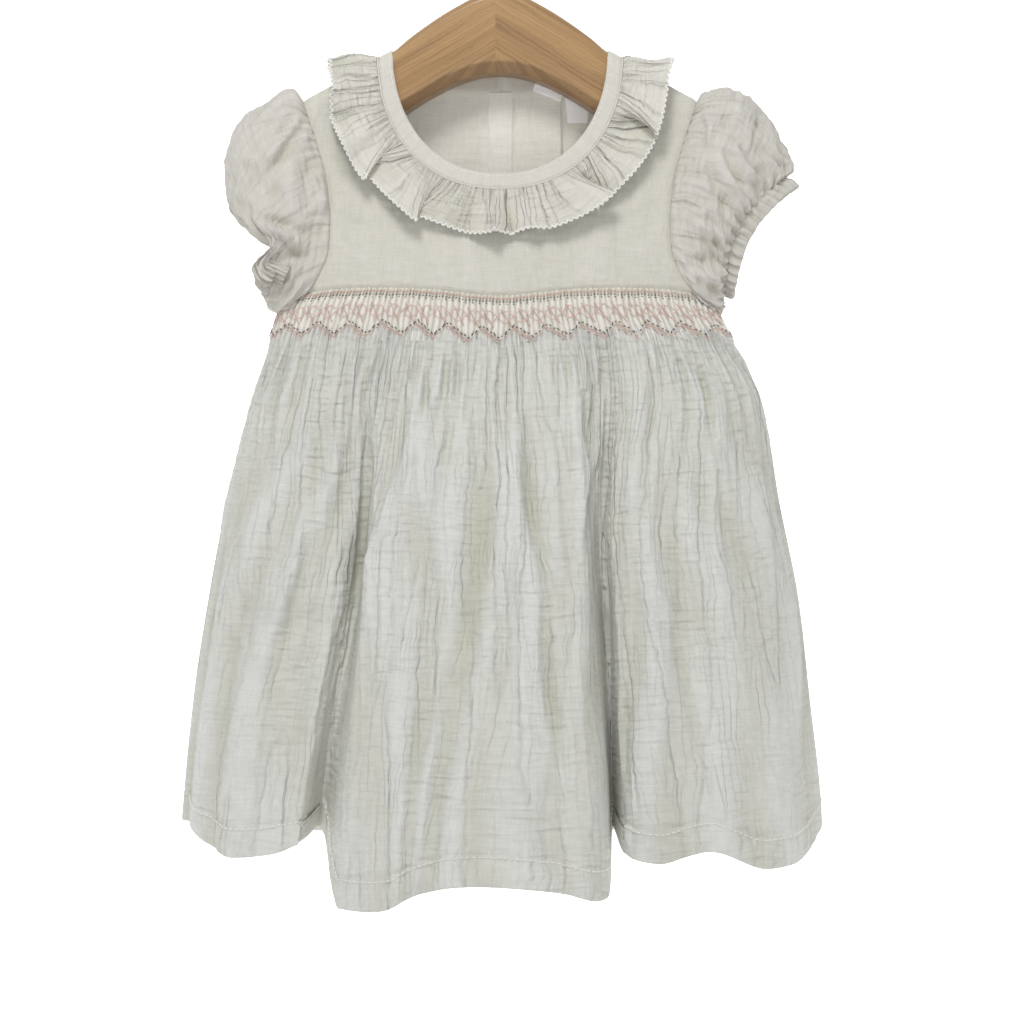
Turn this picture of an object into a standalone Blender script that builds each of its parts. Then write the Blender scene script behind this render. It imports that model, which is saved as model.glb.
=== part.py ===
"""Toddler dress on a wooden hanger: its cut and sewn pieces as thin solid walls.

Blender 4.5, metres, +Z up. The origin is the inside top of the hanger's hook, where a rail carries it.
The dress faces -Y, and its right-hand side in a front view is +X. Sizes below are in millimetres.
"""

import math

import bpy
import numpy as np

MM = 0.001
FRONT = -1
BACK = 1

# Cloth and seams
CLOTH = 1.2
PLACKET_CLOTH = 2.0
NECKBAND_CLOTH = 1.8
RUFFLE_CLOTH = 1.0
HEM_EXTRA = 0.8
SEAM_GAP = 0.3
SIDE_INSET = SEAM_GAP / 2

# How finely curves are followed, and the step over which the body's slope is measured
CURVE_POINTS = 600
NORMAL_STEP = 0.05
SEAM_TOLERANCE = 1.01

# Neck and shoulders
NECK_HALF_WIDTH = 67.5
NECK_TOP = -92.0
FRONT_NECK_DROP = 74.5
BACK_NECK_DROP = 16.0
NECK_POWER = 2.2
BAND_HALF_WIDTH = 59.5
FRONT_BAND_DROP = 70.0
BACK_BAND_DROP = 11.0
SHOULDER_STEPS = 3
RIDGE_STEPS = 4
RIDGE_ARC = 18.0
FRONT_NECK_STEPS = 9
BACK_NECK_STEPS = 5
SHOULDER_SLOPE = 0.541
SHOULDER_TIP = 110.0
RIDGE_RADIUS = 11.0

# Body: how far its front and back stand from the middle plane
SHOULDER_DEPTH = 13.6
FRONT_WAIST_DEPTH = 24.0
BACK_WAIST_DEPTH = 21.0
DEPTH_STARTS = -130.0
WAIST = -240.0
BODY_POWER = 3.5

# The side line, down from the shoulder: height, left half width, right half width
SIDE_LINE = [
    (-90, 181.0, 181.0),
    (-133, 181.0, 181.0),
    (-205, 134.0, 134.0),
    (-221, 117.0, 117.0),
    (-233, 121.5, 119.5),
    (-250, 127.5, 129.0),
    (-284, 139.2, 146.3),
    (-339, 152.8, 156.0),
    (-394, 163.2, 166.8),
    (-449, 171.6, 173.2),
    (-505, 177.2, 179.6),
    (-560, 179.5, 182.5),
]

# Armhole seam, down from the shoulder tip: half width, height
ARMHOLE = [
    (110.0, -115.0),
    (106.0, -127.0),
    (100.0, -145.0),
    (95.2, -165.0),
    (93.6, -185.0),
    (94.6, -200.0),
    (98.5, -211.0),
    (106.0, -218.0),
    (117.0, -221.0),
]
# Shares of the armhole at which the yokes have a point, and the sleeve's steps between those points
ARMHOLE_SHARES = [0.0, 0.009, 0.03, 0.062, 0.1, 0.27, 0.45, 0.63, 0.8, 0.92, 1.0]
ARMHOLE_STEPS = [1, 1, 1, 1, 2, 3, 3, 3, 2, 1]
UNDERARM_SHARE = 0.95

# High waist seam and the smocked band under it
WAIST_SEAM = -222.0
WAIST_DIP = 4.5
WAIST_DIP_WIDTH = 32.0
WAIST_SIDE_DROP = 5.5
WAIST_SIDE_WIDTH = 120.0
WAIST_SIDE_POWER = 8
WAIST_CORNER = -227.0
WAIST_SIDE = 116.0
BAND_BOTTOM = -249.0
BAND_BOTTOM_DIP = 3.0
BAND_HALF_WIDTH_MIDDLE = 122.0
BAND_MIDDLE = (WAIST_SEAM + BAND_BOTTOM) / 2
BAND_BOTTOM_HALF_WIDTH = 128.0
WAIST_SCALE = 119.0 / BAND_BOTTOM_HALF_WIDTH
SMOCK_PLEATS = 66
SMOCK_RAISE = 0.9
SMOCK_ROWS = [0.0, 0.16, 0.36, 0.58, 0.8, 1.0]
SMOCK_STITCHED = [0.45, 1.0, 0.8, 1.0, 0.8, 0.6]

# Front skirt: one row for each ridge or valley, from the left side seam to the right one.
# name, place across at the band, part way down and at the hem (share of the half width),
# distance from the middle plane part way down and at the hem, height of the hem
FRONT_FOLDS = [
    ("left seam", -1.00, -1.00, -1.00, 0, 4, -516.0),
    ("left turn", -0.93, -0.93, -0.91, -20, -28, -524.0),
    ("left crest", -0.78, -0.72, -0.80, -36, -50, -530.0),
    ("left inner turn", -0.66, -0.57, -0.62, -33, -46, -526.0),
    ("left valley", -0.55, -0.485, -0.558, -20, -12, -517.0),
    ("centre left edge", -0.43, -0.447, -0.475, -42, -62, -554.5),
    ("centre left crest", -0.33, -0.33, -0.345, -55, -85, -553.0),
    ("centre trough", -0.14, -0.15, -0.235, -56, -82, -544.5),
    ("centre crest", 0.00, 0.00, -0.085, -60, -90, -539.5),
    ("centre fold", 0.11, 0.125, 0.165, -57, -83, -543.5),
    ("centre right crest", 0.26, 0.25, 0.268, -56, -85, -547.5),
    ("centre right edge", 0.35, 0.306, 0.318, -41, -64, -548.5),
    ("right valley", 0.44, 0.345, 0.347, -22, -14, -518.0),
    ("right inner edge", 0.50, 0.385, 0.372, -37, -46, -527.5),
    ("right first crest", 0.60, 0.47, 0.475, -42, -60, -532.0),
    ("right trough", 0.71, 0.60, 0.63, -38, -49, -527.0),
    ("right second crest", 0.84, 0.78, 0.79, -34, -49, -536.5),
    ("right turn", 0.95, 0.94, 0.94, -16, -22, -530.5),
    ("right seam", 1.00, 1.00, 1.00, 0, 4, -519.5),
]

# Back skirt, in the same columns
BACK_FOLDS = [
    ("left seam", -1.00, -1.00, -1.00, 0, 4, -516.0),
    ("left turn", -0.93, -0.92, -0.93, 20, 26, -522.0),
    ("left crest", -0.73, -0.74, -0.76, 33, 46, -528.0),
    ("left inner turn", -0.54, -0.54, -0.57, 29, 38, -527.0),
    ("left valley", -0.40, -0.38, -0.40, 20, 15, -522.0),
    ("centre left crest", -0.24, -0.22, -0.24, 34, 47, -530.0),
    ("centre", -0.02, 0.02, 0.04, 39, 57, -534.0),
    ("centre right crest", 0.20, 0.23, 0.26, 35, 49, -531.0),
    ("right valley", 0.36, 0.38, 0.41, 21, 18, -523.0),
    ("right inner turn", 0.52, 0.54, 0.56, 30, 41, -528.0),
    ("right crest", 0.72, 0.75, 0.77, 35, 48, -529.0),
    ("right turn", 0.93, 0.92, 0.93, 21, 27, -524.0),
    ("right seam", 1.00, 1.00, 1.00, 0, 4, -519.5),
]
FOLD_MIDDLE = 0.45
FOLD_PITCH_POWER = 0.8
HEM_HALF_WIDTH = 180.0
# Outward of a skirt panel: ahead of its middle plane, and a little to the sides
OUTWARD_AHEAD = 60.0
OUTWARD_SIDEWAYS = 0.4

# Gathers under the waist: how many, how deep, and how they open below the seam and fade to the hem
FRONT_GATHERS = 34
BACK_GATHERS = 24
GATHER_DEPTH = 2.0
GATHER_SHARE = 0.45
GATHER_UNEVEN = 0.3
GATHER_AT_SEAM = 0.35
GATHER_OPENS = 0.04
GATHER_AT_HEM = 0.12
GATHER_FADE_POWER = 2.2
SKIRT_ROWS = [0.0, 0.03, 0.09, 0.19, 0.33, 0.49, 0.65, 0.81, 0.945, 1.0]
BACK_ROWS = [0.0, 0.04, 0.13, 0.28, 0.48, 0.72, 0.945, 1.0]
HEM_STARTS = 0.94

# Ruffle collar
RUFFLE_START = 8.8
RUFFLE_DIRECTION_STEP = 3.0
RUFFLE_WIDTH = 26.0
RUFFLE_WAVES = 24
RUFFLE_COLUMNS_PER_WAVE = 4
RUFFLE_WAVE_HEIGHT = 3.0
RUFFLE_UNEVEN = 0.4
RUFFLE_STAND = 1.9
RUFFLE_LIFT = 0.24
RUFFLE_SHOULDER_LIFT = 0.30
RUFFLE_SHOULDER_SPREAD = 9.0
RUFFLE_UPWARD = 14.0
RUFFLE_ROWS = [0.0, 0.3, 0.65, 1.0]

# Puff sleeves: centre of the cuff ring, its half height along its long axis, that axis, its half
# depth, how far its front and back bow inwards, and the way that the cuff faces
CUFFS = {
    "left": dict(centre=(-124.4, 0.0, -211.5), half=10.6, up=(0.394, 0.0, 0.919), depth=30.0, bow=1.0),
    "right": dict(centre=(141.3, 0.0, -189.9), half=36.0, up=(0.507, 0.0, 0.862), depth=14.0, bow=9.0),
}
# How each line of a sleeve leaves the armhole and reaches the cuff: x outwards, y forwards, z up
SLEEVE_LINES = {
    "left": dict(
        top=((38.0, 0.0, 12.0), (60.0, 0.0, 32.0)),
        front=((20.0, 17.0, 2.0), (36.0, 8.0, 2.0)),
        under=((7.0, 0.0, 0.5), (3.0, 0.0, -7.0)),
        back=((20.0, 15.0, 2.0), (36.0, 6.0, 2.0)),
    ),
    "right": dict(
        top=((24.0, 0.0, 16.0), (1.0, 0.0, 38.0)),
        front=((18.0, 17.0, 0.0), (-6.0, 15.0, 6.0)),
        under=((7.0, 0.0, 0.5), (2.0, 0.0, -7.0)),
        back=((18.0, 15.0, 0.0), (-6.0, 13.0, 6.0)),
    ),
}
ARMHOLE_GAP = 0.35
SLEEVE_ROWS = [0.0, 0.12, 0.28, 0.48, 0.68, 0.86, 1.0]
SLEEVE_HEAD_GATHER = 1.0
HEAD_GATHER_AT = 0.1
HEAD_GATHER_SPREAD = 0.12
SLEEVE_CUFF_GATHER = 1.3
CUFF_GATHER_STARTS = 0.45
CUFF_GATHER_ENDS = 0.9
CUFF_GATHER_UNDER = 0.35
CUFF_WIDTH = 8.5
CUFF_PLEAT = 0.8
CUFF_CROWN = 0.6
# Across the cuff's width: share of the width, share of the pleats' depth
CUFF_ROWS = [(0.0, 0.5), (0.5, 0.8), (1.0, 1.0)]

# Placket, buttons and labels
PLACKET_HALF_WIDTH = 7.0
PLACKET_POINTS = 7
BUTTON_HEIGHTS = [-117.0, -150.0, -183.0, -215.0]
BUTTON_RADIUS = 5.5
BUTTON_THICKNESS = 2.2
BUTTON_SIDES = 16
# A button's turned profile from the cloth up: share of the radius, share of the thickness
BUTTON_PROFILE = [(0.80, 0.0), (1.0, 0.35), (1.0, 0.75), (0.86, 1.0), (0.7, 0.82)]
LABEL_THICKNESS = 0.8
LABEL_PLANE = 11.9
LOOP_LABEL = [(19.6, -103.0), (35.4, -108.6), (34.2, -113.6), (18.2, -107.4)]
CARE_LABEL = [(36.4, -109.5), (50.4, -115.6), (49.4, -125.4), (38.0, -125.6)]

# Colour, roughness and metallic value of each material
FINISHES = {
    "gauze": ((0.71, 0.69, 0.62), 0.9, 0.0),
    "binding": ((0.74, 0.72, 0.65), 0.9, 0.0),
    "smocked_gauze": ((0.73, 0.66, 0.60), 0.9, 0.0),
    "satin_label": ((0.86, 0.86, 0.84), 0.5, 0.0),
    "button_shell": ((0.82, 0.80, 0.74), 0.35, 0.0),
    "beech": ((0.45, 0.24, 0.11), 0.5, 0.0),
    "steel": ((0.62, 0.62, 0.62), 0.25, 1.0),
}

# Hanger: distance from its middle, top edge, bottom edge
HANGER_ARM = [
    (0.0, -56.5, -101.0),
    (8.0, -57.1, -101.6),
    (15.0, -59.2, -103.0),
    (22.0, -62.8, -105.4),
    (30.0, -67.4, -109.0),
    (40.0, -74.0, -114.4),
    (50.0, -81.3, -120.6),
    (59.5, -89.2, -126.6),
    (67.5, -94.0, -131.0),
    (90.0, -105.5, -138.5),
    (100.0, -111.6, -141.0),
    (108.0, -117.0, -142.5),
    (114.0, -121.0, -142.5),
    (117.5, -124.0, -140.5),
    (119.0, -128.0, -136.5),
]
HANGER_HALF_THICKNESS = 11.6
HANGER_ROUND = 2.4
HANGER_SIDES = 16
HANGER_TAPER_STARTS = 95.0
HANGER_END_TAPER = 0.5
HOOK_WIRE = 3.8
HOOK_INNER_RADIUS = 20.0
HOOK_START_ANGLE = -52.0
HOOK_END_ANGLE = 200.0
HOOK_BEND_POINTS = 24
# The hook's stem, up from the wood: place across, height over its foot
HOOK_STEM = [(0.0, 0.0), (0.0, 3.5), (0.6, 7.5), (3.2, 12.0), (7.8, 15.8)]


def smooth_step(share):
    share = np.clip(share, 0.0, 1.0)
    return share * share * (3.0 - 2.0 * share)


def unit(vectors):
    vectors = np.asarray(vectors, dtype=float)
    length = np.linalg.norm(vectors, axis=-1, keepdims=True)
    return vectors / np.maximum(length, 1e-9)


def smooth_table(at, places, values):
    """A monotone cubic through the table's values: it never overshoots a row."""
    places = np.asarray(places, dtype=float)
    values = np.asarray(values, dtype=float)
    at = np.clip(np.asarray(at, dtype=float), places[0], places[-1])
    step = np.diff(places)
    slope = np.diff(values, axis=0) / (step if values.ndim == 1 else step[:, None])
    before, after = slope[:-1], slope[1:]
    same_way = before * after > 0
    safe = np.where(same_way, before + after, 1.0)
    inner = np.where(same_way, 2.0 * before * after / safe, 0.0)
    tangent = np.concatenate([slope[:1], inner, slope[-1:]])
    row = np.clip(np.searchsorted(places, at, side="right") - 1, 0, len(step) - 1)
    share = (at - places[row]) / step[row]
    width = step[row]
    if values.ndim > 1:
        share, width = share[..., None], width[..., None]
    cube = share**3
    square = share**2
    return (
        (2 * cube - 3 * square + 1) * values[row]
        + (cube - 2 * square + share) * width * tangent[row]
        + (3 * square - 2 * cube) * values[row + 1]
        + (cube - square) * width * tangent[row + 1]
    )


def in_and_out(columns):
    """One for the crest and minus one for the valley of each gather, two columns to a gather."""
    return np.where(np.arange(columns) % 2 == 1, 1.0, -1.0)


def uneven_sizes(index, spread):
    """Sizes just under one that differ from place to place, by a fixed rule."""
    return 1.0 - spread * (0.5 - 0.5 * np.sin(1.7 * index) * np.cos(0.61 * index))


def running_length(points):
    steps = np.linalg.norm(np.diff(points, axis=0), axis=1)
    return np.concatenate([[0.0], np.cumsum(steps)])


def even_points(points, shares):
    """Points along a polyline at the given shares of its length."""
    points = np.asarray(points, dtype=float)
    along = running_length(points)
    wanted = np.asarray(shares) * along[-1]
    return np.stack([np.interp(wanted, along, points[:, k]) for k in range(points.shape[1])], axis=1)


def bent_curve(points, count=CURVE_POINTS):
    """A smooth curve through the points, as a dense polyline."""
    points = np.asarray(points, dtype=float)
    along = running_length(points)
    return smooth_table(np.linspace(0, along[-1], count), along, points)


# ---------------------------------------------------------------- the body's surface


def ridge_height(x):
    return NECK_TOP - SHOULDER_SLOPE * (np.abs(x) - NECK_HALF_WIDTH)


def half_width(z, x):
    heights = [-row[0] for row in SIDE_LINE]
    left = smooth_table(-np.asarray(z), heights, [row[1] for row in SIDE_LINE])
    right = smooth_table(-np.asarray(z), heights, [row[2] for row in SIDE_LINE])
    return np.where(np.asarray(x) < 0, left, right)


def body_depth(x, z, side):
    """Distance of the front or back from the middle plane, at a place of the front view."""
    waist = FRONT_WAIST_DEPTH if side == FRONT else BACK_WAIST_DEPTH
    down = smooth_step((DEPTH_STARTS - z) / (DEPTH_STARTS - WAIST))
    depth = SHOULDER_DEPTH + (waist - SHOULDER_DEPTH) * down
    across = np.clip(np.abs(x) / half_width(z, x), 0.0, 1.0)
    around = (1.0 - across**BODY_POWER) ** (1.0 / BODY_POWER)
    below = np.clip((ridge_height(x) - z) / RIDGE_RADIUS, 0.0, 1.0)
    over_ridge = np.sqrt(1.0 - (1.0 - below) ** 2)
    return depth * around * over_ridge


def body_point(x, z, side):
    x, z = np.broadcast_arrays(np.asarray(x, dtype=float), np.asarray(z, dtype=float))
    y = side * np.maximum(body_depth(x, z, side), SIDE_INSET)
    return np.stack([x, y, z], axis=-1)


def body_normals(points, side):
    """Outward unit normals of the body's surface, kept in the middle plane on a side or shoulder seam."""
    x, y, z = points[..., 0], points[..., 1], points[..., 2] - 2.0 * NORMAL_STEP
    step = NORMAL_STEP
    wide = (body_depth(x + step, z, side) - body_depth(x - step, z, side)) / (2 * step)
    tall = (body_depth(x, z + step, side) - body_depth(x, z - step, side)) / (2 * step)
    on_seam = np.abs(y) <= SIDE_INSET * SEAM_TOLERANCE
    return unit(np.stack([-wide, np.where(on_seam, 0.0, side * np.ones_like(x)), -tall], axis=-1))


def waist_seam(x):
    x = np.asarray(x, dtype=float)
    dip = WAIST_DIP * np.exp(-((x / WAIST_DIP_WIDTH) ** 2))
    return WAIST_SEAM - dip - WAIST_SIDE_DROP * np.abs(x / WAIST_SIDE_WIDTH) ** WAIST_SIDE_POWER


def band_bottom(x):
    return BAND_BOTTOM - BAND_BOTTOM_DIP * np.exp(-((np.asarray(x) / WAIST_DIP_WIDTH) ** 2))


def grid_normals(grid, closed):
    """Unit normals of a grid of points, from its neighbours along both ways."""
    if closed:
        across = np.roll(grid, -1, axis=1) - np.roll(grid, 1, axis=1)
    else:
        across = np.gradient(grid, axis=1)
    down = np.gradient(grid, axis=0)
    return unit(np.cross(down, across))


def facing(normals, towards):
    """The normals turned to the side that the given directions point to."""
    sign = np.sign(np.sum(normals * towards, axis=-1, keepdims=True))
    return normals * np.where(sign == 0, 1.0, sign)


# ---------------------------------------------------------------- meshes and materials


def finish(name):
    colour, roughness, metallic = FINISHES[name]
    material = bpy.data.materials.new(name)
    material.use_nodes = True
    shader = material.node_tree.nodes["Principled BSDF"]
    shader.inputs["Base Color"].default_value = (*colour, 1.0)
    shader.inputs["Roughness"].default_value = roughness
    shader.inputs["Metallic"].default_value = metallic
    return material


def add_object(name, vertices, faces, material):
    mesh = bpy.data.meshes.new(name)
    mesh.from_pydata([tuple(float(c) * MM for c in v) for v in vertices], [], faces)
    mesh.materials.append(material)
    mesh.shade_smooth()
    mesh.set_sharp_from_angle(angle=math.radians(60))
    obj = bpy.data.objects.new(name, mesh)
    bpy.context.scene.collection.objects.link(obj)
    return obj


def turned_out(vertices, faces):
    """The faces wound so that the closed body's volume is positive."""
    points = np.asarray(vertices)
    volume = 0.0
    for face in faces:
        for k in range(1, len(face) - 1):
            a, b, c = points[face[0]], points[face[k]], points[face[k + 1]]
            volume += np.dot(a, np.cross(b, c))
    if volume < 0:
        return [tuple(reversed(face)) for face in faces]
    return faces


def add_wall(name, outer, inner, material, closed=False):
    """A closed solid between two grids of points: rows of an open strip, or rings of a tube.

    Both have the same columns. The inner grid may have fewer rows, where it is plain.
    """
    columns = outer.shape[1]
    vertices = np.concatenate([outer.reshape(-1, 3), inner.reshape(-1, 3)])
    half = outer.shape[0] * columns

    def corner(row, column, layer):
        return layer * half + row * columns + column % columns

    last = columns if closed else columns - 1
    faces = []
    for layer, grid in enumerate((outer, inner)):
        for row in range(len(grid) - 1):
            for column in range(last):
                quad = [(row, column), (row, column + 1), (row + 1, column + 1), (row + 1, column)]
                quad = [corner(*place, layer) for place in quad]
                faces.append(tuple(quad[:: -1 if layer else 1]))
    for outer_row, inner_row, turn in ((0, 0, 1), (len(outer) - 1, len(inner) - 1, -1)):
        for column in range(last):
            rim = [corner(inner_row, column, 1), corner(inner_row, column + 1, 1)]
            rim += [corner(outer_row, column + 1, 0), corner(outer_row, column, 0)]
            faces.append(tuple(rim[::turn]))
    if not closed:
        for column, turn in ((0, -1), (columns - 1, 1)):
            rim = [corner(row, column, 1) for row in range(len(inner))]
            rim += [corner(row, column, 0) for row in reversed(range(len(outer)))]
            if len(inner) == len(outer):
                rims = [
                    (rim[row], rim[row + 1], rim[-row - 2], rim[-row - 1]) for row in range(len(outer) - 1)
                ]
            else:
                rims = [rim]
            faces.extend(tuple(face[::turn]) for face in rims)
    return add_object(name, vertices, turned_out(vertices, faces), material)


def thin_wall(name, middle, material, thickness=CLOTH, closed=False, normals=None):
    if normals is None:
        normals = grid_normals(middle, closed)
    offset = normals * (thickness / 2)
    return add_wall(name, middle + offset, middle - offset, material, closed)


# ---------------------------------------------------------------- upper part


def neck_curve(half, top, drop, turn):
    """Half width, height of a neck line at an angle: 0 at the middle, a quarter turn at the shoulder."""
    power = 2.0 / NECK_POWER
    x = half * np.sign(np.sin(turn)) * np.abs(np.sin(turn)) ** power
    z = top - drop * np.abs(np.cos(turn)) ** power
    return x, z


def armhole_curve(shares):
    """Half widths and heights along the armhole seam, from the shoulder tip to the underarm."""
    return even_points(bent_curve(ARMHOLE), shares)


YOKE_ROWS = [UNDERARM_SHARE * share for share in ARMHOLE_SHARES] + [1.0]


def patch(top, bottom, first_side, last_side, rows, shoulder):
    """A grid of front-view places filled in between four edges.

    The sides' curves spread over the whole width low down, and only over the shoulder columns high up, so
    that no column swings over the neck line.
    """
    along = running_length(top)
    across = along / along[-1]
    down = np.asarray(rows)[:, None]
    from_first = np.clip(1 - along / shoulder, 0, 1) * (1 - down) + (1 - across) * down
    from_last = np.clip(1 - (along[-1] - along) / shoulder, 0, 1) * (1 - down) + across * down
    first_curve = first_side - ((1 - down) * first_side[0] + down * first_side[-1])
    last_curve = last_side - ((1 - down) * last_side[0] + down * last_side[-1])
    places = (1 - down[..., None]) * top + down[..., None] * bottom
    places += from_first[..., None] * first_curve[:, None]
    return places + from_last[..., None] * last_curve[:, None]


def seam_places(left, right, top):
    """The waist seam from one side to the other, spaced as the top edge is."""
    along = running_length(top) / running_length(top)[-1]
    x = left + (right - left) * along
    z = waist_seam(x) + SIDE_INSET
    z[np.abs(x) > WAIST_SIDE] = WAIST_CORNER + SIDE_INSET
    return np.stack([x, z], axis=1)


def body_wall(name, places, side, material, thickness=CLOTH):
    """A wall on the body's surface over a grid of front-view places."""
    middle = body_point(places[..., 0], places[..., 1], side)
    thin_wall(name, middle, material, thickness, normals=body_normals(middle, side))


def shoulder_places(first, last):
    x = np.linspace(first, last, SHOULDER_STEPS + 1)
    return np.stack([x, ridge_height(x)], axis=1)


def arm_side(sign):
    """Front-view places down a yoke's outer edge: the armhole, then the short side seam."""
    edge = armhole_curve(ARMHOLE_SHARES)
    edge[:-1, 0] -= SIDE_INSET
    edge[:, 0] *= sign
    corner = [sign * float(half_width(WAIST_CORNER, sign)), WAIST_CORNER + SIDE_INSET]
    return np.concatenate([edge, [corner]])


def build_front_yoke(material):
    half = NECK_HALF_WIDTH + SIDE_INSET
    right_neck = neck_quarter(half, FRONT_NECK_DROP + SIDE_INSET, FRONT)[::-1][:, (0, 2)]
    neck = np.concatenate([right_neck[::-1] * (-1, 1), right_neck[1:]])
    tip = SHOULDER_TIP - SIDE_INSET
    left = shoulder_places(-tip, -half)[:-1]
    right = shoulder_places(half, tip)[1:]
    top = np.concatenate([left, neck, right])
    first, last = arm_side(-1), arm_side(1)
    bottom = seam_places(first[-1, 0], last[-1, 0], top)
    places = patch(top, bottom, first, last, YOKE_ROWS, running_length(top)[SHOULDER_STEPS])
    body_wall("yoke_front", places, FRONT, material)
    return bottom


def build_back_yokes(material):
    seams = []
    for name, sign in (("yoke_back_left", -1), ("yoke_back_right", 1)):
        edge = PLACKET_HALF_WIDTH + SEAM_GAP
        half = NECK_HALF_WIDTH + SIDE_INSET
        neck = neck_quarter(half, BACK_NECK_DROP + SIDE_INSET, BACK)[:, (0, 2)]
        neck[-1] = (edge, np.interp(edge, neck[::-1, 0], neck[::-1, 1]))
        shoulder = shoulder_places(SHOULDER_TIP - SIDE_INSET, half)[:-1]
        top = np.concatenate([shoulder, neck]) * (sign, 1)
        first = arm_side(sign)
        bottom = seam_places(first[-1, 0], top[-1, 0], top)
        seams.append(bottom)
        last = np.stack([np.full(len(YOKE_ROWS), top[-1, 0]), np.zeros(len(YOKE_ROWS))], axis=1)
        last[:, 1] = top[-1, 1] + (bottom[-1, 1] - top[-1, 1]) * np.asarray(YOKE_ROWS)
        places = patch(top, bottom, first, last, YOKE_ROWS, running_length(top)[SHOULDER_STEPS])
        body_wall(name, places, BACK, material)
    return np.concatenate([seams[0], seams[1][::-1]])


def build_placket(material):
    x = np.array([-PLACKET_HALF_WIDTH, 0.0, PLACKET_HALF_WIDTH])
    top = NECK_TOP - BACK_NECK_DROP - SIDE_INSET
    bottom = waist_seam(0.0) + SEAM_GAP
    z = np.linspace(top, bottom, PLACKET_POINTS)
    body_wall("back_placket", np.stack(np.meshgrid(x, z), axis=-1), BACK, material, PLACKET_CLOTH)


def neck_turns(side):
    """Angles round a quarter of the neck seam, shoulder to middle, close together over the ridge."""
    drop, steps = (FRONT_NECK_DROP, FRONT_NECK_STEPS) if side == FRONT else (BACK_NECK_DROP, BACK_NECK_STEPS)
    turn = np.linspace(math.pi / 2, 0.0, CURVE_POINTS)
    x, z = neck_curve(NECK_HALF_WIDTH, NECK_TOP, drop, turn)
    along = running_length(body_point(x, z, side))
    over_ridge = np.linspace(0, RIDGE_ARC, RIDGE_STEPS + 1)
    wanted = np.concatenate([over_ridge, np.linspace(RIDGE_ARC, along[-1], steps + 1)[1:]])
    return np.interp(wanted, along, turn)


def neck_quarter(half, drop, side):
    """Points of a neck line on the body's surface, from the shoulder to the middle."""
    x, z = neck_curve(half, float(ridge_height(half)), drop, neck_turns(side))
    points = body_point(x, z, side)
    points[0, 1] = 0.0
    return points


def neck_loop(half, front_drop, back_drop):
    """Points once round the neck, from the centre back round to it again."""
    back = neck_quarter(half, back_drop, BACK)[::-1]
    right = np.concatenate([back, neck_quarter(half, front_drop, FRONT)[1:]])
    left = right[::-1][1:] * (-1, 1, 1)
    return np.concatenate([right, left])


def build_neckband(material):
    inset = SIDE_INSET
    low = neck_loop(NECK_HALF_WIDTH - inset, FRONT_NECK_DROP - inset, BACK_NECK_DROP - inset)
    high = neck_loop(BAND_HALF_WIDTH, FRONT_BAND_DROP, BACK_BAND_DROP)
    ends = SIDE_INSET * np.array([1.0, 0.0, 0.0])
    for line in (low, high):
        line[0] += ends
        line[-1] -= ends
    middle = np.stack([high, low])
    behind = (middle[..., 1] > 0)[..., None]
    normals = np.where(behind, body_normals(middle, BACK), body_normals(middle, FRONT))
    thin_wall("neckband", middle, material, NECKBAND_CLOTH, normals=normals)


def build_ruffle(material):
    columns = RUFFLE_WAVES * RUFFLE_COLUMNS_PER_WAVE + 1
    loop = bent_curve(neck_loop(NECK_HALF_WIDTH, FRONT_NECK_DROP, BACK_NECK_DROP))
    ends = RUFFLE_START / running_length(loop)[-1]
    further = RUFFLE_DIRECTION_STEP * (1.0 - SHOULDER_SLOPE)
    beyond = neck_loop(
        NECK_HALF_WIDTH + RUFFLE_DIRECTION_STEP, FRONT_NECK_DROP + further, BACK_NECK_DROP + further
    )
    beyond = bent_curve(beyond)
    along_seam = running_length(loop)
    wanted = np.linspace(ends, 1.0 - ends, columns) * along_seam[-1]
    seam = np.stack([np.interp(wanted, along_seam, loop[:, k]) for k in range(3)], axis=1)
    outside = np.stack([np.interp(wanted, along_seam, beyond[:, k]) for k in range(3)], axis=1)
    along = unit(np.gradient(seam, axis=0))
    outward = outside - seam
    outward = unit(outward - along * np.sum(outward * along, axis=1, keepdims=True))
    up = unit(np.cross(outward, along))
    up = facing(up, seam * (0, 1, 0) + np.array([0, 0, RUFFLE_UPWARD]))
    near_shoulder = np.exp(-((seam[:, 1] / RUFFLE_SHOULDER_SPREAD) ** 2))
    lift = RUFFLE_LIFT + RUFFLE_SHOULDER_LIFT * near_shoulder
    wave = np.cos(2 * math.pi * RUFFLE_WAVES * np.linspace(0, 1, columns))
    uneven = uneven_sizes(np.arange(columns) / RUFFLE_COLUMNS_PER_WAVE, RUFFLE_UNEVEN)
    rows = []
    for share in RUFFLE_ROWS:
        reach = 1.0 + RUFFLE_WIDTH * share
        height = RUFFLE_STAND + reach * np.sin(lift) + RUFFLE_WAVE_HEIGHT * share * wave * uneven
        rows.append(seam + outward * (reach * np.cos(lift))[:, None] + up * height[:, None])
    thin_wall("collar_ruffle", np.array(rows), material, RUFFLE_CLOTH)


# ---------------------------------------------------------------- smocked band and skirt


def unit_arc(columns):
    """Places round a half body from its left side seam to its right one, evenly spaced."""
    turn = np.linspace(-math.pi / 2, math.pi / 2, CURVE_POINTS)
    across = np.sign(np.sin(turn)) * np.abs(np.sin(turn)) ** (2.0 / BODY_POWER)
    ring = body_point(across * half_width(BAND_MIDDLE, across), BAND_MIDDLE, FRONT)
    x = even_points(ring, np.linspace(0, 1, columns))[:, 0]
    return x / half_width(BAND_MIDDLE, x)


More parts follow.
